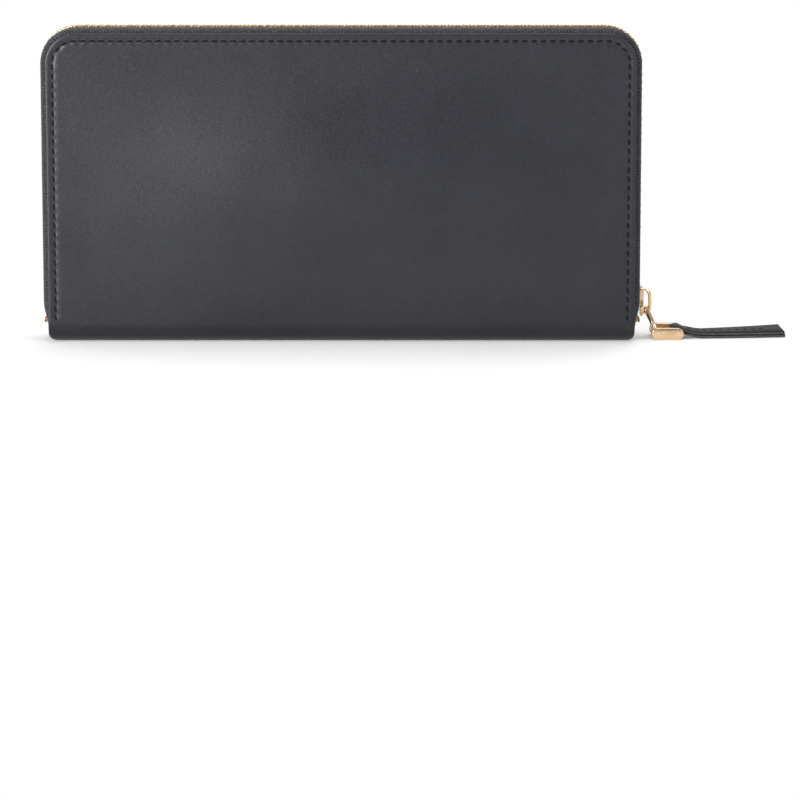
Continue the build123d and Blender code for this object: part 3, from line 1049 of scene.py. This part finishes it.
    def under(self, name: str, angles: range, flat_to: float | None) -> bpy.types.Object:
        """A length of the shell's cross-section under the wallet, run along it.

        Args:
            name: the piece's name.
            angles: the turn's angles, in degrees round the back centre, or the front one if nothing is flat.
            flat_to: the Y that a flat stretch starts from, or none.

        Returns:
            The piece, not yet riding.
        """
        centre = self.face - self.spine_radius
        line: list[tuple[float, float, float, float]] = []
        if flat_to is not None:
            steps = 12
            line = [(flat_to + (centre - flat_to) * i / steps, 0.0, 0.0, -1.0) for i in range(steps)]
        middle = -centre if flat_to is None else centre
        r = self.spine_radius
        for a in angles:
            c, s = math.cos(math.radians(a)), math.sin(math.radians(a))
            line.append((middle + r * c, r + r * s, c, s))
        shell = [(y, z) for y, z, _, _ in line]
        shell += [(y - ny * self.wall, z - nz * self.wall) for y, z, ny, nz in reversed(line)]
        near = (0.0, 0.1, 0.3, 0.6)
        ends = {-self.half + d for d in near} | {self.half - d for d in near}
        cols = sorted(ends | set(np.linspace(-90, 90, 61)))
        points = []
        for x in cols:
            for y, z in shell:
                over = self.foot - min(z, self.foot)
                tuck = self.foot - math.sqrt(max(self.foot**2 - over**2, 0.0))
                points.append((x * (self.half - tuck * 0.8) / self.half, y, z))
        return self.make.solid(name, points, hull_quads(len(cols), len(shell)), self.make.finishes.cover)

    def build(self) -> None:
        """Makes and dresses the shell."""
        for side in Side:
            self.panel(side)
        self.slip_panel()
        fold = self.under("front_fold_leather", range(180, 271, 5), None)
        sharpen(fold, self.crease)
        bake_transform(fold)
        LOG.info("made %s", fold.name)
        spine = self.under("spine_leather", range(270, 361, 5), self.spine_radius - self.face)
        sharpen(spine, self.crease)
        settle(spine, "back_half", "spine_panel")


@dataclass
class EdgeStitching:
    """The black thread round each cover, the pocket's window and the slip pockets."""

    make: Maker
    inset: float = 2.5
    foot: float = 8.0
    pitch: float = STITCH_PITCH
    length: float = 2.15
    width: float = 0.80
    height: float = 0.46
    sink: float = 0.10
    slant: float = 7.0
    cover_y: float = 12.17
    patch_y: float = 12.67
    sheet_y: float = -2.47
    step: float = 0.6

    def stitch(self, side: Side) -> bpy.types.Object:
        """One stitch: a plump strand, slightly slanted, whose ends dive into the leather.

        Args:
            side: the half that it is sewn on.

        Returns:
            The unit, lying along X.
        """
        rings, around = 9, 8
        points = []
        slant = math.radians(self.slant)
        for i in range(rings):
            t = -1 + 2 * i / (rings - 1)
            girth = math.sqrt(max(1 - abs(t) ** 3.2, 0.02))
            x = t * self.length / 2
            for c, s in circle(around):
                across = self.width / 2 * girth * c
                up = self.height / 2 * girth * s - self.sink * t * t
                along = x * math.cos(slant) - across * math.sin(slant)
                over = x * math.sin(slant) + across * math.cos(slant)
                points.append((along, side.value * up, over))
        return self.make.solid("stitch_unit", points, hull_quads(rings, around), self.make.finishes.thread)

    def build(self) -> None:
        """Sews both covers, then the pockets."""
        thread = self.make.finishes.thread
        rim = Rim(HALF_LENGTH - self.inset, TOP - self.inset, CORNER - self.inset, self.foot, self.foot)
        pitch = rim.length() / round(rim.length() / self.pitch)
        for side in Side:
            line = [(x, side.value * self.cover_y, z) for x, z, _, _, _ in rim.samples(0.5)]
            name = f"{side.word}_edge_stitches"
            row = self.make.row(name, line, self.stitch(side), pitch, thread, 0.035, 3)
            settle(row, side.body, f"{side.word}_cover_stitching")
        window = [(-83.4, 68.9), (83.4, 68.9), (83.4, 86.3), (-83.4, 86.3), (-83.4, 68.9)]
        patch = [(-91.0, 56.0), (-91.0, 11.0), (91.0, 11.0), (91.0, 56.0)]
        sheet = [(-86.2, 86.2), (-86.2, 5.0), (86.2, 5.0), (86.2, 86.2), (-86.2, 86.2)]
        runs = (
            ("pocket_window", window, self.cover_y),
            ("slip_pocket", patch, self.patch_y),
            ("centre_pocket", sheet, self.sheet_y),
        )
        for name, corners, y in runs:
            line = []
            for (x0, z0), (x1, z1) in zip(corners, corners[1:]):
                steps = round(math.hypot(x1 - x0, z1 - z0) / self.step)
                line += [(x0 + (x1 - x0) * i / steps, y, z0 + (z1 - z0) * i / steps) for i in range(1, steps)]
            unit = self.stitch(Side.BACK)
            row = self.make.row(f"{name}_stitches", line, unit, self.pitch, thread, 0.03, 11)
            settle(row, "back_half", None)


@dataclass
class MainZip:
    """The zip round three sides: two tapes, two rows of teeth and the stops."""

    make: Maker
    half: float = HALF_LENGTH
    top: float = TOP
    corner: float = CORNER
    foot: float = 4.6
    wall: float = 0.6
    thinner: float = 0.35
    dive: float = 1.5
    turn: float = 10.5
    pitch: float = TOOTH_PITCH
    chain_offset: float = 1.6
    chain_foot: float = 9.0
    slider_top: float = 18.2

    def dip(self, z: float) -> float:
        """How far the tape sinks in near its lower ends."""
        return self.dive * (1 - smooth_step((z - 4.0) / 9.0))

    def section(self) -> list[tuple[float, float]]:
        """The tape's outer line across.

        Returns:
            The distances from the middle, and the heights over the leather's rim.
        """
        return [
            (0.45, 1.12), (1.0, 1.13), (1.6, 1.22), (2.1, 1.45), (2.6, 1.62), (3.3, 1.74),
            (4.4, 1.86), (5.8, 1.92), (7.2, 1.92), (8.4, 1.84), (9.3, 1.62), (9.95, 1.2),
            (10.35, 0.6), (10.55, -0.3), (10.62, -1.5), (10.64, -3.2), (10.64, -5.0),
        ]

    def tape(self, side: Side) -> bpy.types.Object:
        """One half's tape with its own UV map in metres.

        Args:
            side: the half that it is sewn to.

        Returns:
            The piece.
        """
        rim = Rim(self.half, self.top, self.corner, self.foot, self.foot)
        outer = self.section()
        lines = []
        for i, (y, o) in enumerate(outer):
            a, b = outer[max(i - 1, 0)], outer[min(i + 1, len(outer) - 1)]
            ty, to = b[0] - a[0], b[1] - a[1]
            size = math.hypot(ty, to)
            wall = self.wall - self.thinner * held((2.7 - y) / 1.1)
            lines.append((y + to / size * wall, o - ty / size * wall))
        shell = outer + lines[::-1]
        widths = [0.0]
        for a, b in zip(shell, shell[1:]):
            widths.append(widths[-1] + math.dist(a, b))
        rings = rim.samples(1.2)
        points = []
        for x, z, nx, nz, _ in rings:
            sink = self.dip(z)
            for y, o in shell:
                h = o - (sink if y < self.turn else 0.0)
                points.append((x + nx * h, side.value * y, z + nz * h))
        name = f"{side.word}_zip_tape_weave"
        faces = hull_quads(len(rings), len(shell))
        thing = self.make.solid(name, np.array(points), faces, self.make.finishes.tape)
        spread = thing.data.uv_layers.new(name="weave")
        place = {}
        for i, ring in enumerate(rings):
            for j in range(len(shell)):
                key = tuple(round(c, 3) for c in points[i * len(shell) + j])
                place[key] = (ring[4] * MM, widths[j] * MM)
        for loop in thing.data.loops:
            key = tuple(round(c / MM, 3) for c in thing.data.vertices[loop.vertex_index].co)
            spread.data[loop.index].uv = place.get(key, (0.0, 0.0))
        sharpen(thing, 50)
        settle(thing, side.body, f"{side.word}_zip_tape")
        return thing

    def tooth(self, side: Side) -> bpy.types.Object:
        """One tooth: a bead at its head, a waist, and legs that clasp the tape.

        Args:
            side: the half whose tape it clasps.

        Returns:
            The unit, its breadth along X.
        """
        stations = [
            (-0.66, 0.50, 0.22), (-0.52, 0.66, 0.44), (-0.12, 0.76, 0.52),
            (0.32, 0.70, 0.46), (0.78, 0.58, 0.34), (1.2, 0.74, 0.42),
            (1.9, 0.80, 0.52), (2.85, 0.78, 0.52), (3.18, 0.58, 0.42),
        ]
        points = []
        for y, high, wide in stations:
            cut = min(wide, high) * 0.45
            ring = [
                (wide, -high + cut), (wide, high - cut), (wide - cut, high), (-wide + cut, high),
                (-wide, high - cut), (-wide, -high + cut), (-wide + cut, -high), (wide - cut, -high),
            ]
            points += [(a, side.value * y, b) for a, b in ring]
        return self.make.solid("tooth_unit", points, hull_quads(len(stations), 8), self.make.finishes.brass)

    def teeth(self, side: Side) -> bpy.types.Object:
        """One half's row of teeth, set between the other's.

        Args:
            side: the half.

        Returns:
            The piece.
        """
        shift = 0.0 if side is Side.FRONT else self.pitch / 2
        high, wide = self.top + self.chain_offset, self.half + self.chain_offset
        plain = Rim(wide, high, self.corner + self.chain_offset, self.chain_foot, self.slider_top)
        spare = plain.length() % self.pitch
        rim = Rim(wide, high, plain.radius, self.chain_foot + spare + shift, self.slider_top + shift)
        line = [(x, 0.0, z) for x, z, _, _, _ in rim.samples(0.6)]
        name = f"{side.word}_zip_teeth_row"
        row = self.make.row(name, line, self.tooth(side), self.pitch, self.make.finishes.brass, 0.018, 5)
        sharpen(row, 60)
        settle(row, side.body, f"{side.word}_zip_teeth")
        return row

    def build(self) -> None:
        """Makes and dresses the zip."""
        brass = self.make.finishes.brass
        for side in Side:
            self.tape(side)
            self.teeth(side)
            self.make.eased(f"{side.word}_zip_stops", f"{side.word}_zip_end_stops", side.body, 0.2, brass)


@dataclass
class FoldedStrap:
    """A leather strap folded double round a bar, with a row of stitches."""

    make: Maker
    name: str
    body: str
    centre: Vector
    along: Vector
    lift: Vector
    width: float
    ply: float
    bar: float
    length: float
    drift: float
    sink: float
    roll: float
    slant: float
    round_tip: float
    replaced: tuple[str, str]

    def path(self) -> list[tuple[float, float]]:
        """The strap's middle line: back along the lower ply, round the bar, out along the upper.

        Returns:
            The distances along the strap, and the heights over its middle.
        """
        r = self.bar + self.ply / 2
        gap = self.ply / 2 - 0.03
        steps = 22
        line: list[tuple[float, float]] = []
        for i in range(steps):
            t = i / (steps - 1)
            s = self.length + (r * 1.5 - self.length) * t
            line.append((s, -gap))
        for i in range(1, 18):
            a = math.radians(-50 - 260 * i / 18)
            line.append((r * math.cos(a), r * math.sin(a)))
        for i in range(steps):
            t = i / (steps - 1)
            s = r * 1.5 + (self.length - 0.15 - r * 1.5) * t
            line.append((s, gap))
        return line

    def bend(self, s: float, w: float, h: float) -> Vector:
        """Carries a point of the straight strap to where it lies.

        Args:
            s: the distance along it, in millimetres.
            w: the distance across it.
            h: the height over its middle.

        Returns:
            The point in the wallet's frame, in millimetres.
        """
        t = min(max(s / self.length, 0.0), 1.05)
        settle_in = smooth_step((s - 1.5) / 7.0)
        roll = self.roll * t
        tip = max(t - 0.93, 0.0) / 0.07
        w *= 1.0 - 0.05 * math.sin(math.pi * min(t, 1.0)) - self.round_tip * tip * tip
        rise = h - self.sink * settle_in + self.width / 2 * math.sin(abs(roll)) * 1.05
        across = self.along.cross(self.lift)
        side = w * math.cos(roll) + self.drift * t * t
        reach = s + self.slant * w * max(t - 0.9, 0.0) * 10
        return self.centre + self.along * reach + self.lift * (rise + w * math.sin(roll)) + across * side

    def build(self) -> bpy.types.Object:
        """Makes the strap and its stitches.

        Returns:
            The strap.
        """
        line = self.path()
        side = self.along.cross(self.lift).normalized()
        half, wall, bite = self.width / 2, self.ply / 2 - 0.02, 0.22
        ring = [
            (half, -wall + bite), (half, wall - bite), (half - bite, wall), (0.0, wall),
            (-half + bite, wall), (-half, wall - bite), (-half, -wall + bite), (-half + bite, -wall),
            (0.0, -wall), (half - bite, -wall),
        ]
        points = []
        for i, (s, h) in enumerate(line):
            a, b = line[max(i - 1, 0)], line[min(i + 1, len(line) - 1)]
            ts, th = b[0] - a[0], b[1] - a[1]
            size = math.hypot(ts, th)
            ns, nh = -th / size, ts / size
            for w, d in ring:
                points.append(tuple(self.bend(s + ns * d, w, h + nh * d)))
        faces = hull_quads(len(line), len(ring))
        thing = self.make.solid(self.name, points, faces, self.make.finishes.strap)
        thing.data.materials.append(self.make.finishes.raw)
        for face in thing.data.polygons:
            if abs(face.normal.dot(side)) > 0.9 or len(face.vertices) > 4:
                face.material_index = 1
        sharpen(thing, 45)
        settle(thing, self.body, self.replaced[0])
        self.sew()
        return thing

    def sew(self) -> None:
        """Sets the row of stitches on the strap's upper face."""
        rings, around = 7, 8
        first, pitch, half_length, half_width = 4.2, 2.7, 0.95, 0.27
        spots = []
        faces: list[Face] = []
        for n in range(10):
            start = len(spots)
            for i in range(rings):
                t = -1 + 2 * i / (rings - 1)
                girth = math.sqrt(max(1 - abs(t) ** 3, 0.02))
                for c, s in circle(around):
                    up = self.ply - 0.04 + 0.15 * girth * s - 0.08 * t * t
                    along = first + pitch * n + half_length * t
                    spots.append(tuple(self.bend(along, half_width * girth * c, up)))
            faces += [tuple(start + k for k in f) for f in hull_quads(rings, around)]
        row = self.make.solid(f"{self.name}_stitches", spots, faces, self.make.finishes.thread)
        settle(row, self.body, self.replaced[1])


@dataclass
class Pulls:
    """Both sliders with everything that hangs on them."""

    make: Maker

    def hoop(
        self, name: str, body: str, points: list[tuple[float, ...]], side: Vector, half: float, node: str
    ) -> None:
        """A cast hoop on a slider, swept along a line and fuller at its middle.

        Args:
            name: the piece's name.
            body: the CAD body it rides on.
            points: its middle line, in millimetres.
            side: the direction of its breadth.
            half: half its breadth.
            node: the CAD node it stands for.
        """
        fine = smooth_line([Vector(p) for p in points])
        shape = []
        for i, spot in enumerate(fine):
            way = (fine[min(i + 1, len(fine) - 1)] - fine[max(i - 1, 0)]).normalized()
            out = way.cross(side)
            u = i / (len(fine) - 1)
            broad = half * (1.08 - 0.3 * math.sin(math.pi * u))
            thick = 0.42 + 0.16 * math.sin(math.pi * u)
            for c, s in circle(12):
                w = math.copysign(abs(c) ** 0.6, c) * broad
                h = math.copysign(abs(s) ** 0.6, s) * thick
                shape.append(tuple(spot + side * w + out * h))
        piece = self.make.solid(name, shape, hull_quads(len(fine), 12), self.make.finishes.gilt)
        settle(piece, body, node)

    def bell_link(self) -> None:
        """The link from the slider to the shackle: a bell-shaped loop with a foot bar in a barrel."""
        neck, foot = Vector((101.5, 0.0, 9.75)), Vector((105.1345, 0.0, 1.9558))
        down = (foot - neck).normalized()
        reach = (foot - neck).length
        half = [
            (-0.35, 0.0), (-0.25, 0.8), (0.35, 1.55), (1.4, 1.95),
            (3.0, 2.45), (4.8, 3.05), (6.4, 3.45), (7.5, 3.5),
        ]
        path = [neck + down * s + Vector((0, w, 0)) for s, w in half]
        mirror = [neck + down * s + Vector((0, -w, 0)) for s, w in half[:0:-1]]
        line = smooth_line(mirror + path)
        out = down.cross(Vector((0, 1, 0)))
        around = 10
        shape = []
        for i, spot in enumerate(line):
            way = (line[min(i + 1, len(line) - 1)] - line[max(i - 1, 0)]).normalized()
            side = out.cross(way)
            shape += [tuple(spot + out * (0.78 * c) + side * (0.58 * s)) for c, s in circle(around)]
        faces = hull_quads(len(line), around)
        for start, radius, width in ((reach, 1.0, 4.2), (reach - 1.55, 0.52, 3.4)):
            rings = [(-width, 0.72), (-width + 0.2, 0.92), (-width + 0.5, 1.0), (0.0, 1.0)]
            rings += [(-w, r) for w, r in rings[-2::-1]]
            base = len(shape)
            for w, r in rings:
                for c, s in circle(around):
                    spot = neck + down * (start + radius * r * c) + out * (radius * r * s)
                    shape.append(tuple(spot + Vector((0, w, 0))))
            faces += [tuple(base + k for k in f) for f in hull_quads(len(rings), around)]
        piece = self.make.solid("main_bell_link", shape, faces, self.make.finishes.gilt)
        sharpen(piece, 50)
        settle(piece, "main_link", "main_pull_link")

    def build(self) -> None:
        """Eases the metal and makes the hoops and the straps."""
        self.bell_link()
        plan = [
            ("main_slider_body", "main_slider", 0.28, (97.8, 99.4)),
            ("main_pull_shackle", "main_shackle", 0.85, None),
            ("pocket_slider_body", "pocket_slider", 0.28, None),
        ]
        for node, body, width, wedge in plan:
            self.make.eased(node, f"{node}_rounded", body, width, self.make.finishes.gilt, wedge, Slot.GILT)
        main_hoop = [
            (99.9, 16.0), (100.9, 16.25), (101.9, 15.9), (102.55, 14.9), (102.8, 13.4), (102.86, 11.8),
            (102.8, 10.4), (102.5, 9.2), (101.8, 8.5), (100.9, 8.3), (99.9, 8.4),
        ]
        points = [(x, 0.0, z) for x, z in main_hoop]
        self.hoop("main_slider_hoop", "main_slider", points, Vector((0, 1, 0)), 1.4, "main_slider_crown")
        pocket_hoop = [
            (-3.3, 11.9), (-3.35, 13.0), (-3.1, 14.6), (-2.4, 15.7), (-1.2, 16.15), (0.0, 16.2),
            (1.2, 16.15), (2.4, 15.7), (3.1, 14.6), (3.35, 13.0), (3.3, 11.9),
        ]
        points = [(72.0, y, 77.6 + z) for z, y in pocket_hoop]
        self.hoop("pocket_slider_hoop", "pocket_slider", points, Vector((1, 0, 0)), 1.3, "pocket_slider_crown")
        FoldedStrap(
            self.make, "main_strap", "main_tab", centre=Vector((111.8345, 0.0, 2.28)),
            along=Vector((1, 0, 0)), lift=Vector((0, 0, 1)), width=9.0, ply=1.0, bar=0.96, length=35.6,
            drift=-2.6, sink=1.22, roll=math.radians(-9), slant=0.16, round_tip=0.0,
            replaced=("main_pull_tab", "main_pull_stitching"),
        ).build()
        FoldedStrap(
            self.make, "pocket_strap", "pocket_tab", centre=Vector((72.0, 14.58, 68.67)),
            along=Vector((0, 0, -1)), lift=Vector((0, 1, 0)), width=8.2, ply=0.95, bar=0.78, length=32.8,
            drift=0.6, sink=0.0, roll=math.radians(2), slant=0.0, round_tip=0.22,
            replaced=("pocket_pull_tab", "pocket_pull_stitching"),
        ).build()


@dataclass
class OuterPocket:
    """The zip pocket in the back cover: lips, tapes and chain."""

    make: Maker
    chain_y: float = 10.45
    chain_z: float = 77.6
    reach: float = 76.5
    pitch: float = TOOTH_PITCH

    def teeth(self) -> bpy.types.Object:
        """Both rows of the pocket's chain in one piece.

        Returns:
            The piece.
        """
        zipper = MainZip(self.make)
        rows = []
        for side in Side:
            unit = zipper.tooth(side)
            unit.data.transform(Matrix.Rotation(math.radians(90), 4, "X"))
            shift = 0.0 if side is Side.FRONT else self.pitch / 2
            ends = (-self.reach + shift, self.reach + shift - self.pitch)
            line = [(x, self.chain_y, self.chain_z) for x in ends]
            name = f"pocket_teeth_{side.word}"
            rows.append(self.make.row(name, line, unit, self.pitch, self.make.finishes.brass, 0.018, 7))
        both, spare = rows
        with editing(both.data) as form:
            form.from_mesh(spare.data)
        drop(spare)
        both.name = "pocket_zip_teeth_rows"
        settle(both, "back_half", "pocket_zip_teeth")
        return both

    def build(self) -> None:
        """Makes and dresses the pocket."""
        finishes = self.make.finishes
        self.teeth()
        for half in ("upper", "lower"):
            tape = self.make.eased(
                f"pocket_tape_{half}", f"pocket_tape_{half}_weave", "back_half", 0.15, finishes.tape
            )
            layers = tape.data.uv_layers
            spread = layers[0] if layers else layers.new(name="weave")
            for loop in tape.data.loops:
                co = tape.data.vertices[loop.vertex_index].co
                spread.data[loop.index].uv = (co.x, co.z)
            self.make.eased(f"pocket_welt_{half}", f"pocket_lip_{half}", "back_half", 0.35, finishes.cover)
        self.make.eased("pocket_zip_stops", "pocket_zip_end_stops", "back_half", 0.2, finishes.brass)


@dataclass
class Inside:
    """What the wallet holds: linings, boards, card pockets and the centre pocket."""

    make: Maker
    round_over: float = 0.12

    def build(self) -> None:
        """Rounds and dresses the inner sheets."""
        f = self.make.finishes
        plan = {
            "front_card_backing": f.inner, "front_card_pockets": f.inner, "front_card_gusset": f.inner,
            "back_card_backing": f.inner, "back_card_pockets": f.inner, "back_card_gusset": f.inner,
            "centre_pocket_front": f.inner, "centre_pocket_back": f.inner, "centre_pocket_binding": f.inner,
            "spine_lining": f.lining, "spine_board": f.board,
        }
        for node, finish in plan.items():
            body = "front_half" if node.startswith("front") else "back_half"
            self.make.eased(node, f"{node}_sheet", body, self.round_over, finish)
        for node in ("front_lining", "back_lining", "pocket_bag"):
            dress(node, f.lining)
        for node in ("front_board", "back_board"):
            dress(node, f.board)
        for node in ("main_pull_pin", "main_slider_spring", "pocket_pull_ring", "pocket_slider_spring"):
            dress(node, f.gilt)
        LOG.info("dressed the inside")


def dress(node: str, finish: bpy.types.Material) -> None:
    """Gives a CAD node that stays a better material."""
    for place in NODES[node].material_slots:
        place.material = finish


@dataclass
class Studio:
    """The table, the lamps and the camera."""

    distance: float = 1.0
    height: float = 0.150
    divisions: float = 800.0
    scale: float = 0.3274
    middle: float = 341.0
    shift: float = -0.15
    sensor: float = 36.0
    front: float = -0.0123
    floor: float = 6.0
    faint: float = 0.34

    def table(self) -> None:
        """A pale floor that fades to white away from the wallet."""
        mesh = bpy.data.meshes.new("table")
        size = self.floor
        corners = [(-size, -size, 0), (size, -size, 0), (size, size, 0), (-size, size, 0)]
        mesh.from_pydata(corners, [], [(0, 1, 2, 3)])
        floor = put("table", mesh)
        dye = Dye("white_table")
        x, y, _ = dye.split(dye.place())
        away = (x * x * 0.35 + y * y).math("SQRT").ramp(45.0, 150.0)
        path = grow(dye.tree, "ShaderNodeLightPath")
        seen = Value(dye.tree, path.outputs["Is Camera Ray"]) + Value(dye.tree, path.outputs["Is Glossy Ray"])
        seen = seen.math("MINIMUM", 1.0) * (away * 0.95 + 0.05)
        glow = grow(dye.tree, "ShaderNodeEmission")
        dye.set(Base_Color=(0.92, 0.92, 0.92), Roughness=0.6, Specular_IOR_Level=0.2)
        sockets = {0: seen, 1: dye.shader.outputs[0], 2: glow.outputs[0]}
        blend = grow(dye.tree, "ShaderNodeMixShader", {}, sockets)
        dye.tree.links.new(blend.outputs[0], dye.tree.nodes["Material Output"].inputs["Surface"])
        mesh.materials.append(dye.material)

    def world(self) -> None:
        """A soft white room, full white where it is seen."""
        world = bpy.data.worlds.new("room")
        bpy.context.scene.world = world
        world.use_nodes = True
        tree = world.node_tree
        back = tree.nodes["Background"]
        back.inputs["Color"].default_value = (1, 1, 1, 1)
        path = grow(tree, "ShaderNodeLightPath")
        seen = Value(tree, path.outputs["Is Camera Ray"]) + Value(tree, path.outputs["Is Transmission Ray"])
        level = seen * (1.0 - self.faint) + self.faint
        tree.links.new(level.socket, back.inputs["Strength"])

    def lamp(self, name: str, place: Vector, aim: Vector, size: tuple[float, float], watts: float) -> None:
        """A soft rectangular lamp.

        Args:
            name: its name.
            place: where it is, in metres.
            aim: what it points at.
            size: its width and height in metres.
            watts: its power.
        """
        data = bpy.data.lights.new(name, "AREA")
        data.shape = "RECTANGLE"
        data.size, data.size_y = size
        data.energy = watts
        lamp = put(name, data)
        lamp.location = place
        lamp.rotation_euler = (aim - place).to_track_quat("-Z", "Y").to_euler()

    def camera(self) -> None:
        """A camera level with the wallet's top, looking a little down at its front."""
        data = bpy.data.cameras.new("camera")
        view = put("camera", data)
        bpy.context.scene.camera = view
        span = self.divisions * self.scale * MM
        data.sensor_width = self.sensor
        data.lens = self.sensor * self.distance / span
        data.shift_y = self.shift
        off = (self.divisions / 2 - self.middle) * self.scale * MM
        low = (self.height + off) / self.distance
        pitch = math.atan(low) - math.atan(-self.shift * span / self.distance)
        view.location = Vector((off, self.front - self.distance, self.height))
        view.rotation_euler = (math.pi / 2 - pitch, 0.0, 0.0)
        data.clip_start, data.clip_end = 0.01, 30.0

    def build(self) -> None:
        """Sets up the studio."""
        self.table()
        self.world()
        aim = Vector((0.0, 0.0, 0.05))
        self.lamp("left_softbox", Vector((-0.74, -0.90, 0.30)), aim, (0.36, 0.55), 21.0)
        self.lamp("right_softbox", Vector((0.86, -0.80, 0.48)), aim, (0.4, 0.4), 5.0)
        self.lamp("overhead", Vector((0.0, 0.15, 1.1)), aim, (1.2, 0.9), 6.5)
        self.lamp("back_fill", Vector((0.3, 1.0, 0.7)), aim, (1.0, 0.7), 6.0)
        self.camera()
        bpy.context.scene.view_settings.view_transform = "Standard"


def main() -> None:
    """Builds the whole wallet and its studio."""
    logging.basicConfig(level=logging.INFO, format="%(message)s")
    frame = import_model()
    NODES.update(frame["nodes"])
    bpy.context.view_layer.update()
    Studio().build()
    make = Maker(Finishes())
    Covers(make).build()
    EdgeStitching(make).build()
    MainZip(make).build()
    Pulls(make).build()
    OuterPocket(make).build()
    Inside(make).build()


if __name__ == "__main__":
    main()
